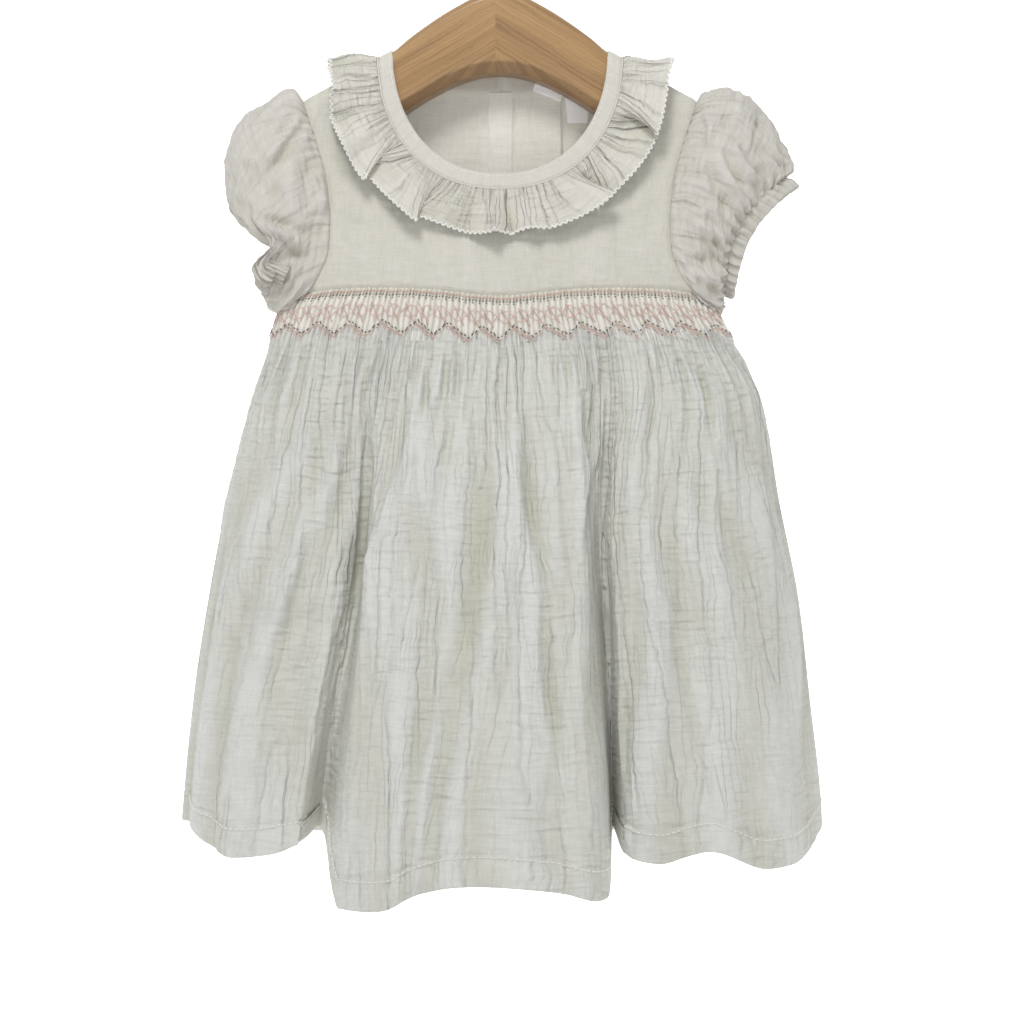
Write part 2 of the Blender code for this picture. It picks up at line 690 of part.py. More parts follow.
def build_smocked_band(seam, material):
    columns = 2 * SMOCK_PLEATS + 1
    across = unit_arc(columns)
    rows = []
    for share in SMOCK_ROWS:
        x = across * BAND_HALF_WIDTH_MIDDLE
        top = np.interp(x, seam[:, 0], seam[:, 1]) - SEAM_GAP
        z = top + (band_bottom(x) + SIDE_INSET - top) * share
        rows.append(body_point(across * half_width(z, across), z, FRONT))
    middle = np.array(rows)
    normals = body_normals(middle, FRONT)
    normals[(0, -1), :, 2] = 0.0
    normals = unit(normals)
    pleat = np.where(np.arange(columns) % 2 == 1, 1.0, 0.0)
    pleat[[0, -1]] = 0.0
    raised = np.array(SMOCK_STITCHED)[:, None] * pleat[None] * SMOCK_RAISE
    outer = middle + normals * (CLOTH / 2 + raised)[..., None]
    inner = middle - normals * (CLOTH / 2)
    add_wall("smocked_band", outer, inner[[0, -1]], material)


def skirt_outward(grid, side):
    return grid * (OUTWARD_SIDEWAYS, 0, 0) + np.array([0, side * OUTWARD_AHEAD, 0])


def skirt_grid(folds, gathers, rows, side, top_line):
    """Middle surface of a skirt panel: the folds' table, with gathers that fade towards the hem."""
    table = np.array([row[1:] for row in folds], dtype=float)
    hem = np.stack([table[:, 2] * HEM_HALF_WIDTH, table[:, 4]], axis=1)
    pitch = np.linalg.norm(np.diff(hem, axis=0), axis=1) ** FOLD_PITCH_POWER
    chord = np.concatenate([[0.0], np.cumsum(pitch)])
    dense = smooth_table(np.linspace(0, chord[-1], CURVE_POINTS), chord, table)
    hem_length = running_length(np.stack([dense[:, 2] * HEM_HALF_WIDTH, dense[:, 4]], axis=1))
    top_length = running_length(dense[:, :1])
    spread = 0.5 * hem_length / hem_length[-1] + 0.5 * top_length / top_length[-1]
    columns = 2 * gathers + 1
    wanted = np.linspace(0, 1, columns)
    lines = np.stack([np.interp(wanted, spread, dense[:, k]) for k in range(table.shape[1])], axis=1)
    f_top, f_middle, f_hem, y_middle, y_hem, z_hem = lines.T
    x_top = f_top * BAND_BOTTOM_HALF_WIDTH
    z_top = top_line(x_top)
    y_top = side * body_depth(f_top * half_width(z_top, f_top), z_top, side)
    grid = []
    for share in rows:
        levels = [0.0, FOLD_MIDDLE, 1.0]
        place = smooth_table(share, levels, np.stack([f_top, f_middle, f_hem]))
        y = smooth_table(share, levels, np.stack([y_top, y_middle, y_hem]))
        z = z_top + (z_hem - z_top) * share
        grid.append(np.stack([place * half_width(z, place), y, z], axis=1))
    grid = np.array(grid)
    spacing = np.linalg.norm(np.gradient(grid, axis=1), axis=2)
    level = facing(grid_normals(grid, False), skirt_outward(grid, side)) * (1, 1, 0)
    swing = in_and_out(columns) * uneven_sizes(np.arange(columns), GATHER_UNEVEN)
    swing[[0, -1]] = 0.0
    share = np.array(rows)[:, None]
    fade = GATHER_AT_HEM + (1.0 - GATHER_AT_HEM) * (1.0 - share) ** GATHER_FADE_POWER
    fade = fade * (GATHER_AT_SEAM + (1.0 - GATHER_AT_SEAM) * smooth_step(share / GATHER_OPENS))
    depth = np.minimum(GATHER_DEPTH, GATHER_SHARE * spacing) * fade
    return grid + unit(level) * (depth * swing)[..., None]


def build_skirt(name, folds, gathers, rows, side, top_line, material):
    middle = skirt_grid(folds, gathers, rows, side, top_line)
    middle[:, (0, -1), 1] += side * SIDE_INSET
    normals = facing(grid_normals(middle, False), skirt_outward(middle, side))
    normals[:, (0, -1), 1] = 0.0
    normals[0, :, 2] = 0.0
    normals = unit(normals)
    hem = np.where(np.array(rows) >= HEM_STARTS, HEM_EXTRA, 0.0)[:, None, None]
    outer = middle + normals * (CLOTH / 2)
    inner = middle - normals * (CLOTH / 2 + hem)
    add_wall(name, outer, inner, material)


def front_skirt_top(x):
    return band_bottom(x) - SIDE_INSET


def back_skirt_top(seam):
    def height(x):
        return np.interp(np.asarray(x) * WAIST_SCALE, seam[:, 0], seam[:, 1]) - SEAM_GAP

    return height


# ---------------------------------------------------------------- sleeves


def cuff_ring(side, turn, out=0.0):
    cuff = CUFFS[side]
    up = np.array(cuff["up"])
    mirror = -1.0 if side == "left" else 1.0
    outward = np.array([up[2] * mirror, 0.0, -up[0] * mirror])
    centre = np.array(cuff["centre"])
    ring = centre + np.cos(turn)[:, None] * cuff["half"] * up
    ring = ring - np.sin(turn)[:, None] * cuff["depth"] * np.array([0.0, 1.0, 0.0])
    return ring + (out - cuff["bow"] * np.sin(turn) ** 2)[:, None] * outward, outward


def armhole_ring(side):
    """Points and normals round the armhole, each on the yokes' own edge: top, front, underarm, back."""
    sign = -1.0 if side == "left" else 1.0
    edge = armhole_curve(ARMHOLE_SHARES)
    along = unit(np.gradient(edge, axis=0))
    shift = ARMHOLE_GAP * np.stack([-sign * along[:, 1], np.zeros(len(edge)), along[:, 0]], axis=1)
    halves = []
    for body_side in (FRONT, BACK):
        points = body_point(sign * edge[:, 0], edge[:, 1], body_side)
        points[[0, -1], 1] = 0.0
        normals = body_normals(points, body_side)
        points += shift
        steps = []
        for row, count in enumerate(ARMHOLE_STEPS):
            for step in range(count):
                share = step / count
                point = points[row] * (1 - share) + points[row + 1] * share
                normal = normals[row] * (1 - share) + normals[row + 1] * share
                steps.append(np.concatenate([point, normal]))
        steps.append(np.concatenate([points[-1], normals[-1]]))
        halves.append(np.array(steps))
    ring = np.concatenate([halves[0], halves[1][::-1][1:-1]])
    return ring[:, :3], unit(ring[:, 3:])


def sleeve_grid(side, columns, rows):
    sign = -1.0 if side == "left" else 1.0
    turn = np.linspace(0, 2 * math.pi, columns, endpoint=False)
    start = armhole_ring(side)[0]
    end, outward = cuff_ring(side, turn, np.zeros(columns))
    top = np.maximum(np.cos(turn), 0.0)
    under = np.maximum(-np.cos(turn), 0.0)
    front = np.maximum(np.sin(turn), 0.0)
    back = np.maximum(-np.sin(turn), 0.0)
    weights = dict(top=top**2, under=under**2, front=front**2, back=back**2)
    leave = np.zeros((columns, 3))
    reach = np.zeros((columns, 3))
    for line, weight in weights.items():
        first, second = SLEEVE_LINES[side][line]
        depth_way = -1.0 if line in ("top", "front", "under") else 1.0
        way = np.array([sign, depth_way, 1.0])
        leave += weight[:, None] * np.array(first) * way
        reach += weight[:, None] * np.array(second) * way
    grid = []
    for t in rows:
        grid.append(
            (1 - t) ** 3 * start
            + 3 * (1 - t) ** 2 * t * (start + leave)
            + 3 * (1 - t) * t**2 * (end + reach)
            + t**3 * end
        )
    return np.array(grid), outward, turn


def build_sleeve(side, material):
    columns = 2 * sum(ARMHOLE_STEPS)
    grid, outward, turn = sleeve_grid(side, columns, SLEEVE_ROWS)
    centre = grid.mean(axis=1, keepdims=True)
    normals = facing(grid_normals(grid, True), grid - centre)
    share = np.array(SLEEVE_ROWS)[:, None]
    at_head = np.exp(-(((share - HEAD_GATHER_AT) / HEAD_GATHER_SPREAD) ** 2))
    at_head = at_head * np.sqrt(np.maximum(np.cos(turn), 0.0))
    at_cuff = np.clip((share - CUFF_GATHER_STARTS) / (CUFF_GATHER_ENDS - CUFF_GATHER_STARTS), 0, 1) ** 2
    at_cuff = at_cuff * np.maximum(CUFF_GATHER_UNDER, np.abs(np.sin(turn)))
    depth = SLEEVE_HEAD_GATHER * at_head + SLEEVE_CUFF_GATHER * at_cuff
    depth[-1] = CUFF_PLEAT * CUFF_ROWS[0][1]
    normals[-1] = away_from_cuff_axis(side, grid[-1], outward)
    grid = grid + normals * (depth * in_and_out(columns))[..., None]
    normals = facing(grid_normals(grid, True), grid - centre)
    normals[-1] = away_from_cuff_axis(side, grid[-1], outward)
    normals[0] = armhole_ring(side)[1]
    thin_wall("sleeve_" + side, grid, material, closed=True, normals=normals)


def away_from_cuff_axis(side, ring, outward):
    away = ring - np.array(CUFFS[side]["centre"])
    return unit(away - outward * (away @ outward)[:, None])


def build_cuff(side, material):
    columns = 2 * sum(ARMHOLE_STEPS)
    turn = np.linspace(0, 2 * math.pi, columns, endpoint=False)
    ring, outward = cuff_ring(side, turn, np.zeros(columns))
    rows = []
    swing = in_and_out(columns) * CUFF_PLEAT
    away = away_from_cuff_axis(side, ring, outward)
    for share, pleat in CUFF_ROWS:
        out = SEAM_GAP + (CUFF_WIDTH - SEAM_GAP) * share
        crown = CUFF_CROWN * math.sin(math.pi * share)
        rows.append(ring + outward * out + away * (swing * pleat + crown)[:, None])
    grid = np.array(rows)
    normals = facing(grid_normals(grid, True), away)
    normals[0] = away
    thin_wall("cuff_" + side, grid, material, closed=True, normals=normals)


# ---------------------------------------------------------------- trims and hanger


def build_buttons(material):
    sides = BUTTON_SIDES
    for number, height in enumerate(BUTTON_HEIGHTS, start=1):
        centre = body_point(0.0, height, BACK)
        normal = body_normals(centre, BACK)
        up = unit(np.cross(normal, np.array([1.0, 0.0, 0.0])))
        turn = np.linspace(0, 2 * math.pi, sides, endpoint=False)
        round_line = np.cos(turn)[:, None] * np.array([1.0, 0.0, 0.0]) + np.sin(turn)[:, None] * up
        start = PLACKET_CLOTH / 2 + SEAM_GAP
        vertices = []
        for share, level in BUTTON_PROFILE:
            out = start + BUTTON_THICKNESS * level
            vertices.extend(centre + normal * out + round_line * BUTTON_RADIUS * share)
        faces = [tuple(range(sides)), tuple(range(len(vertices) - 1, len(vertices) - 1 - sides, -1))]
        for ring in range(len(BUTTON_PROFILE) - 1):
            for k in range(sides):
                a, b = ring * sides + k, ring * sides + (k + 1) % sides
                faces.append((a, a + sides, b + sides, b))
        add_object(f"button_{number}", vertices, turned_out(vertices, faces), material)


def build_label(name, corners, material):
    half = LABEL_THICKNESS / 2
    front = [(x, LABEL_PLANE - half, z) for x, z in corners]
    back = [(x, LABEL_PLANE + half, z) for x, z in corners]
    faces = [(0, 1, 2, 3), (7, 6, 5, 4)]
    faces += [(k, k + 4, (k + 1) % 4 + 4, (k + 1) % 4) for k in range(4)]
    add_object(name, front + back, turned_out(front + back, faces), material)


def build_hanger_arms(material):
    table = np.array(HANGER_ARM)
    places = np.concatenate([-table[::-1, 0], table[1:, 0]])
    turn = np.linspace(0, 2 * math.pi, HANGER_SIDES, endpoint=False)
    power = 2.0 / HANGER_ROUND
    wide = np.sign(np.cos(turn)) * np.abs(np.cos(turn)) ** power
    tall = np.sign(np.sin(turn)) * np.abs(np.sin(turn)) ** power
    vertices = []
    for x in places:
        top = np.interp(abs(x), table[:, 0], table[:, 1])
        bottom = np.interp(abs(x), table[:, 0], table[:, 2])
        past = (abs(x) - HANGER_TAPER_STARTS) / (table[-1, 0] - HANGER_TAPER_STARTS)
        half = HANGER_HALF_THICKNESS * (1.0 - HANGER_END_TAPER * smooth_step(past))
        for w, t in zip(wide, tall):
            vertices.append((x, half * w, (top + bottom) / 2 + (top - bottom) / 2 * t))
    count = len(vertices)
    faces = [tuple(reversed(range(HANGER_SIDES))), tuple(range(count - HANGER_SIDES, count))]
    for station in range(len(places) - 1):
        for k in range(HANGER_SIDES):
            a = station * HANGER_SIDES + k
            b = station * HANGER_SIDES + (k + 1) % HANGER_SIDES
            faces.append((a, b, b + HANGER_SIDES, a + HANGER_SIDES))
    add_object("hanger_arms", vertices, turned_out(vertices, faces), material)


def build_hook(material):
    radius = HOOK_INNER_RADIUS + HOOK_WIRE / 2
    centre = -HOOK_INNER_RADIUS
    angles = np.radians(np.linspace(HOOK_START_ANGLE, HOOK_END_ANGLE, HOOK_BEND_POINTS))
    bend = [(radius * math.cos(a), centre + radius * math.sin(a)) for a in angles]
    foot = HANGER_ARM[0][1] + SEAM_GAP
    points = [(x, foot + height) for x, height in HOOK_STEM] + bend
    curve = bpy.data.curves.new("hanger_hook", "CURVE")
    curve.dimensions = "3D"
    curve.bevel_depth = HOOK_WIRE / 2 * MM
    curve.bevel_resolution = 2
    curve.use_fill_caps = True
    spline = curve.splines.new("POLY")
    spline.points.add(len(points) - 1)
    for point, (x, z) in zip(spline.points, points):
        point.co = (x * MM, 0.0, z * MM, 1.0)
    curve.materials.append(material)
    hook = bpy.data.objects.new("hanger_hook", curve)
    bpy.context.scene.collection.objects.link(hook)


def main():
    for obj in list(bpy.data.objects):
        bpy.data.objects.remove(obj, do_unlink=True)
    gauze = finish("gauze")
    satin = finish("satin_label")
    front_seam = build_front_yoke(gauze)
    back_seam = build_back_yokes(gauze)
    build_placket(gauze)
    build_neckband(finish("binding"))
    build_ruffle(gauze)
    build_smocked_band(front_seam, finish("smocked_gauze"))
    build_skirt("skirt_front", FRONT_FOLDS, FRONT_GATHERS, SKIRT_ROWS, FRONT, front_skirt_top, gauze)
    build_skirt("skirt_back", BACK_FOLDS, BACK_GATHERS, BACK_ROWS, BACK, back_skirt_top(back_seam), gauze)
    for side in ("left", "right"):
        build_sleeve(side, gauze)
        build_cuff(side, gauze)
    build_buttons(finish("button_shell"))
    build_label("label_loop", LOOP_LABEL, satin)
    build_label("label_care", CARE_LABEL, satin)
    build_hanger_arms(finish("beech"))
    build_hook(finish("steel"))


main()
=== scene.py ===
"""Toddler dress on a wooden hanger: sewn pieces, stitching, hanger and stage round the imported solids.

The cloth is laid on the dress's own form in millimetres and turned into metres where a mesh is made.
The dress faces -Y, its right-hand side in a front view is +X, and it hangs from the origin.
"""

import math

import bpy
import numpy as np
from bpy.props import FloatProperty, FloatVectorProperty, IntProperty, PointerProperty
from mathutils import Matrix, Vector


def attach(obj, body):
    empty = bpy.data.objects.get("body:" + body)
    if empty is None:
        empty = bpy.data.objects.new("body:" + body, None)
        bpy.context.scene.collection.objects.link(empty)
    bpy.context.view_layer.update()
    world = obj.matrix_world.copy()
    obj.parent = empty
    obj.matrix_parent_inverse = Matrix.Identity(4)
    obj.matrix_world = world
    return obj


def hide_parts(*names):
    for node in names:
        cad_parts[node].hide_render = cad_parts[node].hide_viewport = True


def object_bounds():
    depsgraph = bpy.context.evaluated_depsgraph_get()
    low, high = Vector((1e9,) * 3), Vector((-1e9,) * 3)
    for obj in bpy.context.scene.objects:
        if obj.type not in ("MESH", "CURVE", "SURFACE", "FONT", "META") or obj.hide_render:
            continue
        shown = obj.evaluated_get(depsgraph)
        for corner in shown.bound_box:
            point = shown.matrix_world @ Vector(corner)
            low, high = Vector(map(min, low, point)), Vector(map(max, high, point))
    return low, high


bl_info = {
    "name": "Toddler Dress",
    "version": (1, 0, 0),
    "blender": (4, 5, 0),
    "location": "3D View > Sidebar > Dress",
    "description": "Sews a gauze toddler dress on its wooden hanger round the packed solids",
    "category": "Add Mesh",
}

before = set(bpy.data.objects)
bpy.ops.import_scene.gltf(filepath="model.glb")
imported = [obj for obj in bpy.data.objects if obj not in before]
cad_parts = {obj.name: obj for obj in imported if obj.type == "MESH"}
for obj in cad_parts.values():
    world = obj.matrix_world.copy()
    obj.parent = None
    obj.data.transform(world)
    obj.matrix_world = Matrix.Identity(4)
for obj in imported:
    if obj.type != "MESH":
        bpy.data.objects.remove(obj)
CAD_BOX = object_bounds()

MM = 0.001
FRONT = -1
BACK = 1
SIGN = {"left": -1.0, "right": 1.0}

# ------------------------------------------------------------------ the dress's form, in millimetres

SEAM_GAP = 0.3
CURVE_POINTS = 1200
NORMAL_STEP = 0.05

NECK_HALF_WIDTH = 67.5
NECK_TOP = -92.0
FRONT_NECK_DROP = 74.5
BACK_NECK_DROP = 16.0
NECK_POWER = 2.2
BAND_HALF_WIDTH = 59.5
FRONT_BAND_DROP = 70.0
BACK_BAND_DROP = 11.0
RIDGE_ARC = 18.0
SHOULDER_SLOPE = 0.541
SHOULDER_TIP = 110.0
RIDGE_RADIUS = 11.0

SHOULDER_DEPTH = 13.6
FRONT_WAIST_DEPTH = 24.0
BACK_WAIST_DEPTH = 21.0
DEPTH_STARTS = -130.0
WAIST = -240.0
BODY_POWER = 3.5

# Down the side: height, left half width, right half width
SIDE_LINE = [
    (-90, 181.0, 181.0),
    (-133, 181.0, 181.0),
    (-205, 134.0, 134.0),
    (-221, 117.0, 117.0),
    (-233, 121.5, 119.5),
    (-250, 127.5, 129.0),
    (-284, 139.2, 146.3),
    (-339, 152.8, 156.0),
    (-394, 163.2, 166.8),
    (-449, 171.6, 173.2),
    (-505, 177.2, 179.6),
    (-560, 179.5, 182.5),
]

# Down the armhole seam: half width, height
ARMHOLE = [
    (110.0, -115.0),
    (106.0, -127.0),
    (100.0, -145.0),
    (95.2, -165.0),
    (93.6, -185.0),
    (94.6, -200.0),
    (98.5, -211.0),
    (106.0, -218.0),
    (117.0, -221.0),
]
# Eighteen even steps of a sleeve's half turn end at these shares of the armhole
ARMHOLE_SHARES = [0.0, 0.009, 0.03, 0.062, 0.1, 0.27, 0.45, 0.63, 0.8, 0.92, 1.0]
ARMHOLE_STEPS = [1, 1, 1, 1, 2, 3, 3, 3, 2, 1]
UNDERARM_SHARE = 0.95

WAIST_SEAM = -222.0
WAIST_DIP = 4.5
WAIST_DIP_WIDTH = 32.0
WAIST_SIDE_DROP = 5.5
WAIST_SIDE_WIDTH = 120.0
WAIST_SIDE_POWER = 8
WAIST_CORNER = -227.0
BAND_BOTTOM = -249.0
BAND_BOTTOM_DIP = 3.0
BAND_MIDDLE = (WAIST_SEAM + BAND_BOTTOM) / 2
BAND_BOTTOM_HALF_WIDTH = 128.0

# The skirt's ridges and valleys, from the left side seam to the right one: place across at the band,
# part way down and at the hem (share of the half width), distance from the middle plane part way down
# and at the hem, height of the hem
FRONT_FOLDS = [
    (-1.00, -1.00, -1.00, 0, 4, -516.0),
    (-0.93, -0.93, -0.91, -20, -28, -524.0),
    (-0.78, -0.72, -0.80, -36, -50, -530.0),
    (-0.66, -0.57, -0.62, -33, -46, -526.0),
    (-0.55, -0.485, -0.558, -20, -12, -517.0),
    (-0.43, -0.447, -0.475, -42, -62, -554.5),
    (-0.33, -0.33, -0.345, -55, -85, -553.0),
    (-0.14, -0.15, -0.235, -56, -82, -544.5),
    (0.00, 0.00, -0.085, -60, -90, -539.5),
    (0.11, 0.125, 0.165, -57, -83, -543.5),
    (0.26, 0.25, 0.268, -56, -85, -547.5),
    (0.35, 0.306, 0.318, -41, -64, -548.5),
    (0.44, 0.345, 0.347, -22, -14, -518.0),
    (0.50, 0.385, 0.372, -37, -46, -527.5),
    (0.60, 0.47, 0.475, -42, -60, -532.0),
    (0.71, 0.60, 0.63, -38, -49, -527.0),
    (0.84, 0.78, 0.79, -34, -49, -536.5),
    (0.95, 0.94, 0.94, -16, -22, -530.5),
    (1.00, 1.00, 1.00, 0, 4, -519.5),
]
BACK_FOLDS = [
    (-1.00, -1.00, -1.00, 0, 4, -516.0),
    (-0.93, -0.92, -0.93, 20, 26, -522.0),
    (-0.73, -0.74, -0.76, 33, 46, -528.0),
    (-0.54, -0.54, -0.57, 29, 38, -527.0),
    (-0.40, -0.38, -0.40, 20, 15, -522.0),
    (-0.24, -0.22, -0.24, 34, 47, -530.0),
    (-0.02, 0.02, 0.04, 39, 57, -534.0),
    (0.20, 0.23, 0.26, 35, 49, -531.0),
    (0.36, 0.38, 0.41, 21, 18, -523.0),
    (0.52, 0.54, 0.56, 30, 41, -528.0),
    (0.72, 0.75, 0.77, 35, 48, -529.0),
    (0.93, 0.92, 0.93, 21, 27, -524.0),
    (1.00, 1.00, 1.00, 0, 4, -519.5),
]
FOLD_MIDDLE = 0.45
FOLD_PITCH_POWER = 0.8
HEM_HALF_WIDTH = 180.0
OUTWARD_AHEAD = 60.0
OUTWARD_SIDEWAYS = 0.4
HEM_LEDGE = (0.938, 0.957)

RUFFLE_START = 8.8
RUFFLE_DIRECTION_STEP = 3.0
RUFFLE_WIDTH = 26.0
RUFFLE_STAND = 1.9
RUFFLE_LIFT = 0.24
RUFFLE_SHOULDER_LIFT = 0.30
RUFFLE_SHOULDER_SPREAD = 9.0
RUFFLE_UPWARD = 14.0

# A cuff's ring: centre, half its long axis, that axis, half its depth, how far its front bows inwards
CUFFS = {
    "left": dict(centre=(-124.4, 0.0, -211.5), half=10.6, up=(0.394, 0.0, 0.919), depth=30.0, bow=1.0),
    "right": dict(centre=(141.3, 0.0, -189.9), half=36.0, up=(0.507, 0.0, 0.862), depth=14.0, bow=9.0),
}
# How a sleeve leaves the armhole and reaches its cuff: x outwards, y forwards, z up
SLEEVE_LINES = {
    "left": dict(
        top=((38.0, 0.0, 12.0), (60.0, 0.0, 32.0)),
        front=((20.0, 17.0, 2.0), (36.0, 8.0, 2.0)),
        under=((7.0, 0.0, 0.5), (3.0, 0.0, -7.0)),
        back=((20.0, 15.0, 2.0), (36.0, 6.0, 2.0)),
    ),
    "right": dict(
        top=((24.0, 0.0, 16.0), (1.0, 0.0, 38.0)),
        front=((18.0, 17.0, 0.0), (-6.0, 15.0, 6.0)),
        under=((7.0, 0.0, 0.5), (2.0, 0.0, -7.0)),
        back=((18.0, 15.0, 0.0), (-6.0, 13.0, 6.0)),
    ),
}
CUFF_WIDTH = 8.5
# How far a sleeve sags over the underarm: forwards and down, and how wide
UNDERARM_SAG = (0.0, 3.5, 11.0)
UNDERARM_SAG_WIDTH = 15.0
# Where a sleeve's puff is pushed: place (x, z), how wide and tall, and which way
SLEEVE_PUSHES = {
    "left": [
        (-137.0, -199.0, 16.0, 9.0, (12.5, 0.0, 0.0)),
        (-115.0, -116.0, 12.0, 9.0, (-1.0, 0.0, 5.0)),
        (-146.0, -176.0, 9.0, 12.0, (-2.0, 0.0, 0.0)),
    ],
    "right": [(157.0, -156.0, 11.0, 11.0, (3.0, 0.0, 0.0)), (120.0, -110.0, 14.0, 8.0, (0.0, 0.0, 2.0))],
}

PLACKET_HALF_WIDTH = 7.0
BUTTON_HEIGHTS = [-117.0, -150.0, -183.0, -215.0]
BUTTON_RADIUS = 5.5
BUTTON_STAND = 1.3
BUTTON_THICKNESS = 2.2
LABEL_PLANE = 11.9
LOOP_LABEL = [(19.6, -103.0), (35.4, -108.6), (34.2, -113.6), (18.2, -107.4)]
CARE_LABEL = [(36.4, -109.5), (50.4, -115.6), (49.4, -125.4), (38.0, -125.6)]

# Along an arm of the hanger: distance from its middle, top edge, bottom edge
HANGER_ARM = [
    (0.0, -56.5, -101.0),
    (8.0, -57.1, -101.6),
    (15.0, -59.2, -103.0),
    (22.0, -62.8, -105.4),
    (30.0, -67.4, -109.0),
    (40.0, -74.0, -114.4),
    (50.0, -81.3, -120.6),
    (59.5, -89.2, -126.6),
    (67.5, -94.0, -131.0),
    (90.0, -105.5, -138.5),
    (100.0, -111.6, -141.0),
    (108.0, -117.0, -142.5),
    (114.0, -121.0, -142.5),
    (117.5, -124.0, -140.5),
    (119.0, -128.0, -136.5),
]
HANGER_HALF_THICKNESS = 11.6
HANGER_TAPER_STARTS = 95.0
HANGER_END_TAPER = 0.5
HOOK_WIRE = 3.8
HOOK_INNER_RADIUS = 20.0
HOOK_START_ANGLE = -52.0
HOOK_END_ANGLE = 200.0
HOOK_STEM = [(0.0, 0.0), (0.0, 3.5), (0.6, 7.5), (3.2, 12.0), (7.8, 15.8)]

# ------------------------------------------------------------------ creases pressed in
# kind, half width, depth, and the crease's line down the front view (x, z), all in millimetres.
# A fold is a ridge with one sharp side: "fold left" has it on its left, "fold right" on its right.

FRONT_SKIRT_CREASES = [
    ("trough", 3.2, 2.2, [(-70, -262), (-72, -290), (-74, -333), (-77, -384), (-80, -412)]),
    ("fold left", 7.0, 3.4, [(-51, -258), (-47, -296), (-57, -330), (-67, -364), (-73, -386), (-77, -420)]),
    ("trough", 2.6, 2.2, [(-62, -256), (-61, -285), (-66, -318), (-72, -350)]),
    ("ridge", 3.0, 1.8, [(-66, -258), (-67, -290), (-70, -320)]),
    ("trough", 2.4, 1.8, [(-42, -256), (-40, -284), (-44, -312), (-50, -340)]),
    ("ridge", 2.6, 1.4, [(-37, -256), (-35, -282), (-37, -310)]),
    ("trough", 2.4, 1.5, [(68, -256), (66, -288), (66, -316)]),
    ("fold right", 5.0, 3.0, [(44, -262), (43, -299), (47, -322), (43, -350), (41, -385)]),
    ("trough", 2.6, 2.8, [(56, -258), (52, -290), (46, -325)]),
    (
        "trough", 7.0, 3.6,
        [(0, -268), (-4, -307), (-9, -351), (-18, -396), (-25, -434), (-41, -463), (-52, -500)],
    ),
    ("ridge", 5.0, 1.8, [(-13, -258), (-15, -300), (-22, -350), (-31, -400)]),
    (
        "fold right", 8.0, 3.2,
        [(7, -269), (9, -333), (17, -367), (21, -396), (19, -408), (24, -458), (31, -502), (38, -528)],
    ),
    ("trough", 3.5, 1.6, [(10, -300), (20, -370), (24, -420), (33, -500)]),
    ("fold left", 6.0, 2.6, [(96, -394), (101, -420), (110, -463), (116, -495), (121, -520)]),
    ("trough", 4.0, 2.2, [(90, -300), (94, -350), (97, -400), (106, -450)]),
    ("ridge", 4.5, 2.0, [(74, -290), (78, -350), (84, -420), (86, -480), (90, -520)]),
    ("fold right", 6.0, 1.6, [(140, -300), (146, -350), (150, -410), (148, -470), (152, -515)]),
    ("trough", 6.0, 1.6, [(128, -270), (134, -330), (132, -390), (136, -450)]),
    ("trough", 3.0, 1.4, [(-108, -265), (-115, -285), (-122, -303)]),
    ("trough", 3.0, 1.5, [(-91, -254), (-97, -284)]),
    ("ridge", 3.2, 1.3, [(-129, -276), (-131, -306)]),
    (
        "ridge", 3.4, 2.4,
        [(-102, -284), (-107, -329), (-113, -374), (-126, -417), (-133, -447), (-139, -474)],
    ),
    ("trough", 3.0, 2.2, [(-96, -290), (-101, -330), (-107, -376), (-119, -420), (-126, -450)]),
    ("fold left", 5.0, 1.5, [(-148, -330), (-155, -390), (-160, -450), (-164, -500)]),
    ("trough", 5.0, 1.6, [(-140, -310), (-146, -370), (-150, -430), (-152, -490)]),
    ("ridge", 5.0, 1.2, [(-34, -280), (-38, -340), (-48, -410), (-60, -470), (-66, -520)]),
    ("fold left", 5.0, 1.3, [(-24, -262), (-24, -300), (-30, -350), (-42, -410)]),
    ("trough", 4.0, 1.2, [(30, -262), (33, -310), (38, -360), (46, -430), (52, -500)]),
    ("ridge", 3.0, 1.2, [(12, -255), (14, -290), (15, -330)]),
    ("trough", 2.6, 1.3, [(-10, -254), (-11, -280), (-14, -312)]),
    ("fold right", 4.0, 2.2, [(104, -258), (112, -290), (118, -340), (122, -390)]),
    ("trough", 3.0, 1.3, [(80, -256), (82, -280), (88, -320)]),
    ("ridge", 3.4, 1.2, [(160, -380), (163, -430), (166, -480)]),
]
# Where a front valley is filled out, straight forwards: half width, how far, and its line (x, z)
FRONT_VALLEYS = [
    (12.0, 14.0, [(-79, -370), (-86, -430), (-94, -475), (-100, -520), (-102, -570)]),
    (8.0, 4.0, [(56, -380), (60, -440), (62, -500), (63, -570)]),
]
